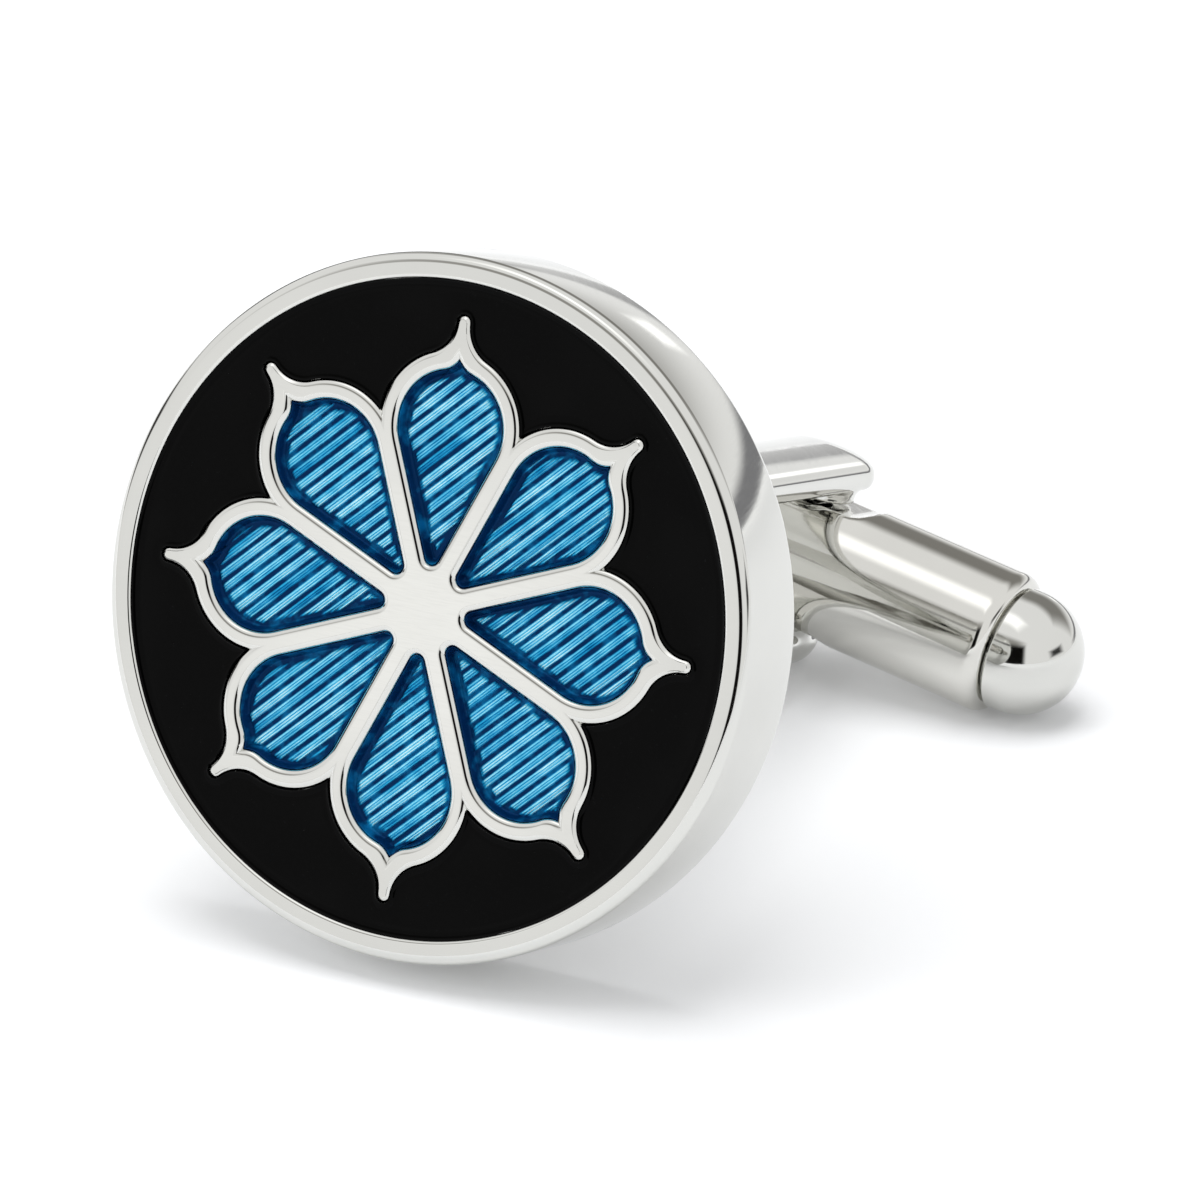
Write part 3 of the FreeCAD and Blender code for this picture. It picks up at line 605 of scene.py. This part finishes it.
def flatPetal(index):
    # a flat petal in rows along the ridges; each row runs from wall to wall, closer set near both
    loop = np.array(turnedBy(cellLoop(ridges["gap"]), flower["turn"] + index * 2 * share))
    slant = math.radians(ridges["slant"])
    along = np.array([math.cos(slant), math.sin(slant)])
    cross = np.array([-math.sin(slant), math.cos(slant)])
    s, t = loop @ along, loop @ cross
    rowCount = int((t.max() - t.min()) / ridges["pitch"] * ridges["rowsEach"])
    spread = 0.5 - 0.5 * np.cos(np.linspace(0, math.pi, ridges["columns"]))
    points = []
    for level in np.linspace(t.min() + ridges["margin"], t.max() - ridges["margin"], rowCount):
        hits = []
        for i in range(len(loop)):
            j = (i + 1) % len(loop)
            if (t[i] - level) * (t[j] - level) <= 0 and t[i] != t[j]:
                hits.append(s[i] + (s[j] - s[i]) * (level - t[i]) / (t[j] - t[i]))
        for part in spread:
            points.append(along * (min(hits) + part * (max(hits) - min(hits))) + cross * level)
    # how far each point is from the wall
    points = np.array(points)
    run = np.roll(loop, -1, axis=0) - loop
    part = np.clip(((points[:, None] - loop) * run).sum(2) / (run ** 2).sum(1), 0, 1)
    edge = np.linalg.norm(points[:, None] - loop - part[..., None] * run, axis=2).min(1)
    faces = quadRows(rowCount, ridges["columns"], closed=False)
    return [(x, y, ridges["floor"]) for x, y in points], faces, edge


def closedBelow(mesh, level):
    # a wall from the open border down to this level, and a floor
    work = bmesh.new()
    work.from_mesh(mesh)
    border = [e for e in work.edges if e.is_boundary]
    made = bmesh.ops.extrude_edge_only(work, edges=border)["geom"]
    for vert in [g for g in made if isinstance(g, bmesh.types.BMVert)]:
        vert.co.z = level
    rim = [g for g in made if isinstance(g, bmesh.types.BMEdge) and g.is_boundary]
    bmesh.ops.contextual_create(work, geom=rim)
    work.to_mesh(mesh)
    work.free()


turningTree, turningKeys = ridgeTree()
turning = {
    "Pitch": ridges["pitch"], "Slant": -math.radians(ridges["slant"]), "Height": ridges["height"],
    "Border": ridges["border"], "Climb": ridges["brim"] - ridges["floor"], "Uneven": ridges["uneven"],
    "SheenPatchiness": ridges["grain"], "Enamel": blueEnamel,
}
for index in range(flower["petals"]):
    points, faces, edge = flatPetal(index)
    petalMesh = makeMesh("flatPetal", points, faces, Matrix.Identity(4), {"edge": edge})
    petalMesh = grown(petalMesh, turningTree, turningKeys, turning)
    closedBelow(petalMesh, flower["cellFloor"] + ridges["lift"])
    petalMesh.transform(faceToRow)
    finishMesh(petalMesh, sharpAngle=60, merge=0.0005)
    # the disc's petals are numbered the other way round, seen from the front
    node = "blue_enamel_%d" % ((flower["petals"] - index) % flower["petals"] + 1)
    addPiece("bluePetal%d" % (index + 1), petalMesh, blueEnamel, "link", node)
print("blue petals:", len(petalMesh.polygons), "faces each")

# Toggle: a drawn tube with a flat dent on both sides, and a bullet in each end
toggle = {
    "radius": 1.992, "wall": 0.25, "half": 7.05, "crimp": 0.42, "cutRound": 0.05, "wallMargin": 0.02,
    "dentDepth": 0.28, "dentHalf": 1.7, "dentRound": 0.9, "holeRadius": 0.828, "drillReach": 3.0,
    "plugReach": 2.05, "plugSeat": 2.3, "plugGap": 0.02,
    # from the groove's floor and from the shank, as (radius, height) past the tube's end
    "grooveRun": ((0.0, 0.03), (0.06, 0.06)), "shankRun": ((-0.04, 0.07), (0.0, 0.12)),
    "crimpSteps": 12, "tubeSteps": 150, "cutSteps": 5, "boreSteps": 60, "noseSteps": 28,
    "drillSteps": 64, "steps": 128,
}


def toggleTube():
    # outside from the crimped lip to the cut end, then back along the bore
    radius, half, crimp, wall, cut = (toggle[k] for k in ("radius", "half", "crimp", "wall", "cutRound"))
    lip, inner = radius - crimp, radius - wall
    run = swapped(bend((half - crimp, lip), crimp, 0, 90, toggle["crimpSteps"]))
    run += [(radius, x) for x in np.linspace(half - crimp, -half + cut, toggle["tubeSteps"])[1:-1]]
    run += swapped(bend((-half + cut, radius - cut), cut, 90, 180, toggle["cutSteps"]))
    run += [(inner + cut / 2, -half), (inner, -half + cut / 2)]
    run += [(inner, x) for x in np.linspace(-half + cut, half - crimp, toggle["boreSteps"])]
    run += [(lip, half - wall), run[0]]
    points, faces = lathe(run, toggle["steps"], axis="x")
    return [dented(*point) for point in points], faces


def dented(x, y, z):
    # a point of the tube, pressed flat where it lies in a dent, whose ends flare out in a round
    dentRound = toggle["dentRound"]
    beyond = max(0.0, abs(x) - toggle["dentHalf"])
    if beyond >= dentRound:
        return x, y, z
    flare = dentRound - math.sqrt(max(0.0, dentRound ** 2 - beyond ** 2))
    outside = math.hypot(y, z) > toggle["radius"] - toggle["wall"] + toggle["wallMargin"]
    level = toggle["radius"] - toggle["dentDepth"] + flare - (0.0 if outside else toggle["wall"])
    return x, max(-level, min(level, y)), z


def drilled(mesh, radius, reach):
    # the mesh with a round hole through it along the pin
    profile = [(0.0, -reach), (radius, -reach), (radius, reach), (0.0, reach)]
    points, faces = lathe(profile, toggle["drillSteps"])
    drillMesh = makeMesh("drill", [(x, z, y) for x, y, z in points], faces, toggleToRow)
    drill = bpy.data.objects.new("drill", finishMesh(drillMesh, sharpAngle=40))
    scene.collection.objects.link(drill)
    result = modified(mesh, "BOOLEAN", {"object": drill, "operation": "DIFFERENCE", "solver": "EXACT"})
    bpy.data.objects.remove(drill)
    return result


def bullet(side, crimped):
    # shank in the tube, groove under the crimp, and a round nose
    half, seat, tip = toggle["half"], toggle["plugSeat"], toggle["half"] + toggle["plugReach"]
    shank = toggle["radius"] - toggle["wall"] - toggle["plugGap"]
    run = [(0.0, half - seat), (shank, half - seat)]
    if crimped:
        groove = toggle["radius"] - toggle["crimp"] - toggle["plugGap"]
        run += [(shank, half - toggle["crimp"]), (groove, half - toggle["crimp"])]
        run += [(groove + out, half + up) for out, up in toggle["grooveRun"]]
        run += [(shank + out, half + up) for out, up in toggle["shankRun"]]
    run += swapped(bend((tip - shank, 0), shank, 90, 0, toggle["noseSteps"])[:-1]) + [(0.0, tip)]
    return lathe([(radius, side * x) for radius, x in run], toggle["steps"], axis="x")


tubeMesh = finishMesh(makeMesh("toggleTube", *toggleTube(), toggleToRow), sharpAngle=35)
tubeMesh = finishMesh(drilled(tubeMesh, toggle["holeRadius"], toggle["drillReach"]), sharpAngle=35)
addPiece("toggleTube", weighted(tubeMesh), nickelDrawn, "toggle", "toggle_tube")
bullets = (("crimpedBullet", 1, True, "end_plug_crimped"), ("pressedBullet", -1, False, "end_plug_pressed"))
for name, side, crimped, node in bullets:
    bulletMesh = makeMesh(name, *bullet(side, crimped), toggleToRow)
    addPiece(name, finishMesh(bulletMesh, sharpAngle=35), nickel, "toggle", node)
print("toggle:", len(tubeMesh.polygons), "faces in its tube")

# Collar: two soft rings of braze round the post's foot, a lip and a bead of (radius, height, round)
collar = {
    "inner": 1.21, "outer": 1.64, "top": 0.7, "lipRound": 0.06, "lipTurn": (-20, 90), "lipSteps": 6,
    "bead": (1.412, 0.38, 0.27), "beadTurn": (-70, 80), "beadSteps": 12, "steps": 96,
}


def brazeCollar():
    inner, outer, top, lip = (collar[k] for k in ("inner", "outer", "top", "lipRound"))
    beadMiddle, beadHigh, beadRound = collar["bead"]
    run = [(inner, top), (inner, 0.0), (outer, 0.0)]
    run += bend((outer - lip, lip), lip, *collar["lipTurn"], collar["lipSteps"])
    run += bend((beadMiddle, beadHigh), beadRound, *collar["beadTurn"], collar["beadSteps"])
    return lathe(run + [(inner, top)], collar["steps"])


collarMesh = makeMesh("brazeCollar", *brazeCollar(), benchToRow)
addPiece("brazeCollar", finishMesh(collarMesh, sharpAngle=50), nickelBraze, "link", "solder_collar")


# Fork: one forging, shaped as a field of distances whose zero is the skin, so that its corners come out soft
fork = {
    "armIn": 2.12, "armThick": 0.92, "armHalf": 1.4, "bendRound": 5.0, "bendHigh": 7.4, "bendTurn": 21.91,
    "slotHigh": 2.1, "slotRound": 0.35, "footTop": 1.57, "footOver": 0.1, "rootHalf": 0.96, "waist": 5.2,
    "tipMiddle": 19.5, "bossRound": 1.32, "bossFace": 1.8, "bossOver": 0.2,
    "flatDome": (1.02, 2.3), "fullDome": (-0.16, 3.2),  # inset and curve
    "backRound": 1.27, "backLow": (1.013, 2.1), "backTop": (1.7165, 6.6966),
    "neck": 1.2, "bead": (1.235, 0.9, 0.165), "spigot": (0.9, 0.8),
    "holes": ((1, 0.81, 4.0), (-1, 0.58, 2.62)),  # for the pin: the arm's side, half the width, reach
    "blend": 0.12, "corner": 0.3, "cell": 0.065, "low": (-1.75, -3.4, -1.05), "high": (1.75, 3.4, 21.2),
}


def softUnion(a, b, width):
    # the nearer of two distances, with a fillet where they meet
    part = np.clip(0.5 + 0.5 * (b - a) / width, 0, 1)
    return b * (1 - part) + a * part - width * part * (1 - part)


def overlap(*fields, corner=0.0):
    # what all of the fields hold inside them, with rounded corners if asked
    result = fields[0]
    for field in fields[1:]:
        result = -softUnion(-result, -field, corner) if corner else np.maximum(result, field)
    return result


def slotDistance(side, z):
    # distance out from the slot's wall: upright, round the bend, along the lean, round the slot's base
    bendY, bendHigh, bendRound = fork["armIn"] - fork["bendRound"], fork["bendHigh"], fork["bendRound"]
    turn = math.radians(fork["bendTurn"])
    lean = (side - bendY) * math.cos(turn) - (z - bendHigh) * math.sin(turn) - bendRound
    base = np.hypot(side, z - fork["slotHigh"]) - fork["slotRound"]
    around = np.arctan2(z - bendHigh, side - bendY)
    below = np.arctan2(z - fork["slotHigh"], side) < -turn
    out = np.where(around >= 0, side - fork["armIn"], np.hypot(side - bendY, z - bendHigh) - bendRound)
    return np.where(around < -turn, np.where(below, base, lean), out)


def armsField(x, y, z, out):
    side = np.abs(y)
    footTop, rootHalf, armHalf, tipMiddle = (fork[k] for k in ("footTop", "rootHalf", "armHalf", "tipMiddle"))
    widening = (armHalf - rootHalf) * (z - footTop) / (fork["waist"] - footTop)
    half = np.clip(rootHalf + widening, 0, armHalf)
    outline = np.where(z > tipMiddle, np.hypot(x, z - tipMiddle) - armHalf, np.abs(x) - half)
    # the +Y arm has a flat round the pin's head, the other is domed all over
    inset, curve = (np.where(y > 0, flat, full) for flat, full in zip(fork["flatDome"], fork["fullDome"]))
    domeHigh = np.where(y > 0, pivotHeight, tipMiddle)
    dome = np.sqrt(x ** 2 + (side - inset) ** 2 + np.clip(z - domeHigh, 0, None) ** 2) - curve
    arms = overlap(-out, out - fork["armThick"], outline, dome, corner=fork["corner"])
    return np.maximum(arms, footTop - z)


def backsField(x, side, z, out):
    # round backs of the feet
    (lowY, lowZ), (topY, topZ) = fork["backLow"], fork["backTop"]
    length = math.hypot(topY - lowY, topZ - lowZ)
    dirY, dirZ = (topY - lowY) / length, (topZ - lowZ) / length
    along = (side - lowY) * dirY + (z - lowZ) * dirZ
    held = np.clip(along, 0, None)
    away = np.sqrt(x ** 2 + (side - lowY - held * dirY) ** 2 + (z - lowZ - held * dirZ) ** 2)
    return overlap(away - fork["backRound"], along - length, -out)


def footField(x, y, z):
    # turned foot, with a bead and the spigot that sits in the disc
    radius = np.hypot(x, y)
    beadMiddle, beadHigh, beadRound = fork["bead"]
    spigot, depth = fork["spigot"]
    foot = overlap(radius - fork["neck"], z - fork["footTop"] - fork["footOver"], -z)
    foot = np.minimum(foot, np.hypot(radius - beadMiddle, z - beadHigh) - beadRound)
    return np.minimum(foot, overlap(radius - spigot, z, -depth - z))


def forkField(x, y, z):
    side = np.abs(y)
    out = slotDistance(side, z)
    field = softUnion(armsField(x, y, z, out), backsField(x, side, z, out), fork["blend"])
    field = softUnion(field, footField(x, y, z), fork["blend"])
    boss = overlap(np.hypot(x, z - pivotHeight) - fork["bossRound"], fork["bossFace"] - side,
                   side - fork["armIn"] - fork["bossOver"])
    field = softUnion(field, boss, fork["blend"])
    for sign, reach, depth in fork["holes"]:
        hole = overlap(np.abs(x) - reach, np.abs(z - pivotHeight) - reach, -sign * y, side - depth)
        field = np.maximum(field, -hole)
    return field


def skinOfField(field, low, high, cell):
    # a mesh at the field's zero: a point in each cell that the skin crosses, a quad round each crossed edge
    ticks = [np.arange(a, b + cell, cell) for a, b in zip(low, high)]
    values = field(*np.meshgrid(*ticks, indexing="ij", sparse=True))
    inside = values < 0
    shape = np.array(inside.shape) - 1
    sums, hits = np.zeros((*shape, 3)), np.zeros(shape)
    quads = []
    for axis in range(3):
        first = tuple(slice(0, -1) if a == axis else slice(None) for a in range(3))
        second = tuple(slice(1, None) if a == axis else slice(None) for a in range(3))
        cross = np.argwhere(inside[first] != inside[second])
        one, two = values[first][tuple(cross.T)], values[second][tuple(cross.T)]
        spots = cross.astype(float)
        spots[:, axis] += one / (one - two)
        b, c = (axis + 1) % 3, (axis + 2) % 3
        ring = []
        for stepB, stepC in ((0, 0), (-1, 0), (-1, -1), (0, -1)):
            cells = cross.copy()
            cells[:, b] += stepB
            cells[:, c] += stepC
            np.add.at(sums, tuple(cells.T), spots)
            np.add.at(hits, tuple(cells.T), 1)
            ring.append(cells)
        ring = np.stack(ring, 1)
        flip = one > 0
        ring[flip] = ring[flip][:, ::-1]
        quads.append(ring.reshape(-1, 3))
    used = np.argwhere(hits > 0)
    numbers = np.full(shape, -1)
    numbers[tuple(used.T)] = np.arange(len(used))
    points = sums[tuple(used.T)] / hits[tuple(used.T)][:, None] * cell + np.array(low)
    faces = numbers[tuple(np.concatenate(quads).T)].reshape(-1, 4)
    return points, faces


forkSkin = skinOfField(forkField, fork["low"], fork["high"], fork["cell"])
forkMesh = makeMesh("postFork", *forkSkin, benchToRow)
finishMesh(forkMesh, sharpAngle=75, merge=0.0001)
addPiece("postFork", forkMesh, nickel, "link", "post_fork")

# Pin and spring: the pin's corners are broken, and the spring stays as it is
pin = {"corner": 0.04, "cornerSteps": 3, "sharpAngle": 40, "flatAngle": 0.6, "looseGap": 0.0005}


def brokenCorners(node):
    # a solid's own mesh with its loose triangles merged and its corners broken
    mesh = nodes[node].data.copy()
    work = bmesh.new()
    work.from_mesh(mesh)
    bmesh.ops.remove_doubles(work, verts=work.verts, dist=pin["looseGap"] * mm)
    flat = math.radians(pin["flatAngle"])
    bmesh.ops.dissolve_limit(work, angle_limit=flat, verts=work.verts, edges=work.edges)
    work.to_mesh(mesh)
    work.free()
    return modified(mesh, "BEVEL", {
        "width": pin["corner"] * mm, "segments": pin["cornerSteps"],
        "limit_method": "ANGLE", "angle_limit": math.radians(pin["sharpAngle"]),
    })


pinMesh = finishMesh(brokenCorners("pivot_pin"), pin["sharpAngle"], merge=0.0002)
addPiece("pivotPin", weighted(pinMesh), nickelDrawn, "link", "pivot_pin")
nodes["detent_spring"].data.materials.clear()
nodes["detent_spring"].data.materials.append(spring)
print("fork:", len(forkMesh.polygons), "faces")

# Stage, in metres: a pale sweep, soft light from above and both sides, and dark cards for the metal to mirror
stage = {
    "floor": 6.0, "floorColour": "#f4f5f7",
    "glowFrom": 0.12, "glowTo": 0.55, "nearGlow": 0.13, "farGlow": 0.59,
    "room": 0.5, "aim": (0, 0, 0.008),
    # name, place, size and watts
    "lamps": [
        ("overhead", (-0.05, 0.0, 0.45), (0.42, 0.3), 1.3),
        ("front left", (-0.4, -0.35, 0.3), (0.3, 0.3), 0.9),
    ],
    # name, place, size, share of it that melts away, colour and strength
    "cards": [
        ("soft box", (-0.05, -0.1, 0.48), (0.5, 0.26), 0.85, "#ffffff", 1.7),
        ("back ceiling", (0.0, 0.62, 0.42), (1.7, 0.8), 0.7, "#8f8d89", 1.0),
        ("front ceiling", (-0.1, -0.68, 0.46), (1.4, 0.5), 0.7, "#a19f9b", 1.0),
        ("back skirting", (0.15, 0.8, 0.03), (1.4, 0.1), 0.7, "#8a8a8d", 1.0),
        ("dark front", (0.145, -0.582, 0.14), (0.5, 0.6), 0.45, "#11100f", 1.0),
        ("left wall", (-0.8, -0.05, 0.1), (0.8, 0.2), 0.6, "#3b3a39", 1.0),
        ("left back wall", (-0.5, 0.5, 0.14), (0.7, 0.24), 0.5, "#1a1a1a", 1.0),
        ("right wall", (0.72, 0.05, 0.12), (0.5, 0.2), 0.75, "#3c3c3c", 1.0),
        ("front glow", (-0.26, -0.548, 0.072), (0.06, 0.055), 0.9, "#ffffff", 1.25),
        ("back window", (-0.085, 0.79, 0.12), (0.12, 0.06), 0.8, "#ffffff", 1.7),
    ],
}


def backdropRays(tree):
    # 1 for a ray that shows the backdrop, straight or in metal or glass, 0 for one that only carries light
    path = addNode(tree, "ShaderNodeLightPath").outputs
    first = addNode(tree, "ShaderNodeMath", {"operation": "MAXIMUM"},
                    {0: path["Is Camera Ray"], 1: path["Is Glossy Ray"]})
    both = addNode(tree, "ShaderNodeMath", {"operation": "MAXIMUM"},
                   {0: first.outputs[0], 1: path["Is Transmission Ray"]})
    return both.outputs[0]


def paleFloor():
    # white paper: it keeps the object's shadow, and stays white to look at as far as it reaches
    material, tree = newMaterial("pale paper")
    place = addNode(tree, "ShaderNodeTexCoord").outputs["Object"]
    away = addNode(tree, "ShaderNodeVectorMath", {"operation": "LENGTH"}, {0: place})
    far = addNode(tree, "ShaderNodeMapRange",
                  {"interpolation_type": "SMOOTHSTEP",
                   "From Min": stage["glowFrom"], "From Max": stage["glowTo"],
                   "To Min": stage["nearGlow"], "To Max": stage["farGlow"]},
                  {"Value": away.outputs["Value"]})
    level = addNode(tree, "ShaderNodeMath", {"operation": "MULTIPLY"},
                    {0: far.outputs[0], 1: backdropRays(tree)})
    shader = addNode(tree, "ShaderNodeBsdfDiffuse", {"Color": linear(stage["floorColour"])})
    glow = addNode(tree, "ShaderNodeEmission", {"Color": linear("#ffffff")}, {"Strength": level.outputs[0]})
    both = addNode(tree, "ShaderNodeAddShader", links={0: shader.outputs[0], 1: glow.outputs[0]})
    addNode(tree, "ShaderNodeOutputMaterial", links={"Surface": both.outputs[0]})
    return material


def cardPaint(name, code, strength):
    # an even glow that melts into what lies behind it at the card's border
    material, tree = newMaterial(name)
    solid = addNode(tree, "ShaderNodeAttribute", {"attribute_name": "solid"})
    soft = addNode(tree, "ShaderNodeMapRange", {"interpolation_type": "SMOOTHSTEP"},
                   {"Value": solid.outputs["Fac"]})
    clear = addNode(tree, "ShaderNodeBsdfTransparent")
    glow = addNode(tree, "ShaderNodeEmission", {"Color": linear(code), "Strength": strength})
    both = addNode(tree, "ShaderNodeMixShader",
                   links={0: soft.outputs[0], 1: clear.outputs[0], 2: glow.outputs[0]})
    addNode(tree, "ShaderNodeOutputMaterial", links={"Surface": both.outputs[0]})
    return material


def addCard(name, centre, size, facing, material, fade=None):
    # a flat card; with a fade it is seen by the metal alone and its border melts away
    square = [(x * size[0] / 2, y * size[1] / 2, 0) for x, y in ((-1, -1), (1, -1), (1, 1), (-1, 1))]
    corners, solid, faces = square, [1.0] * 4, [(0, 1, 2, 3)]
    if fade is not None:
        corners = [(x * (1.0 - fade), y * (1.0 - fade), z) for x, y, z in square] + square
        solid = solid + [0.0] * 4
        faces += [(i, i + 4, (i + 1) % 4 + 4, (i + 1) % 4) for i in range(4)]
    turn = Vector(facing).to_track_quat("Z", "Y").to_matrix().to_4x4()
    mesh = makeMesh(name, corners, faces, Matrix.Translation(centre) @ turn, {"solid": solid})
    mesh.materials.append(material)
    card = bpy.data.objects.new(name, mesh)
    card.visible_camera = card.visible_diffuse = card.visible_shadow = fade is None
    scene.collection.objects.link(card)


def addLamp(name, place, size, watts):
    # a soft lamp that the metal doesn't mirror: the cards are there for that
    lamp = bpy.data.lights.new(name, "AREA")
    lamp.shape = "RECTANGLE"
    lamp.size, lamp.size_y = size
    lamp.energy = watts
    holder = bpy.data.objects.new(name, lamp)
    holder.location = place
    holder.rotation_euler = (Vector(stage["aim"]) - Vector(place)).to_track_quat("-Z", "Y").to_euler()
    holder.visible_glossy = False
    scene.collection.objects.link(holder)


def whiteRoom(strength):
    world = bpy.data.worlds.new("white room")
    world.use_nodes = True
    tree = world.node_tree
    tree.nodes.clear()
    level = addNode(tree, "ShaderNodeMapRange", {"To Min": strength, "To Max": 1.0},
                    {"Value": backdropRays(tree)})
    back = addNode(tree, "ShaderNodeBackground", {"Color": linear("#ffffff")}, {"Strength": level.outputs[0]})
    addNode(tree, "ShaderNodeOutputWorld", links={"Surface": back.outputs[0]})
    scene.world = world


addCard("floor", (0, 0, 0), (stage["floor"], stage["floor"]), (0, 0, 1), paleFloor())
for name, centre, size, fade, code, strength in stage["cards"]:
    addCard(name, centre, size, Vector(stage["aim"]) - Vector(centre), cardPaint(name, code, strength), fade)
for lamp in stage["lamps"]:
    addLamp(*lamp)
whiteRoom(stage["room"])

# Camera: a long lens at the photograph's angle, a little over the face and to its right
view = {
    "azimuth": 27.0, "elevation": 23.0, "distance": 0.2487, "target": (-0.0004, 0.0, 0.0056),
    "lens": 285.0, "sensor": 36.0, "clip": (0.01, 20.0),
}
camera = bpy.data.cameras.new("camera")
camera.sensor_width = view["sensor"]
camera.lens = view["lens"]
camera.clip_start, camera.clip_end = view["clip"]
eye = bpy.data.objects.new("camera", camera)
azimuth, elevation = math.radians(view["azimuth"]), math.radians(view["elevation"])
level = math.cos(elevation)
back = Vector((math.sin(azimuth) * level, -math.cos(azimuth) * level, math.sin(elevation)))
eye.location = Vector(view["target"]) + back * view["distance"]
eye.rotation_euler = (-back).to_track_quat("-Z", "Y").to_euler()
scene.collection.objects.link(eye)
scene.camera = eye
scene.view_settings.view_transform = "Standard"
print("stage and camera set")
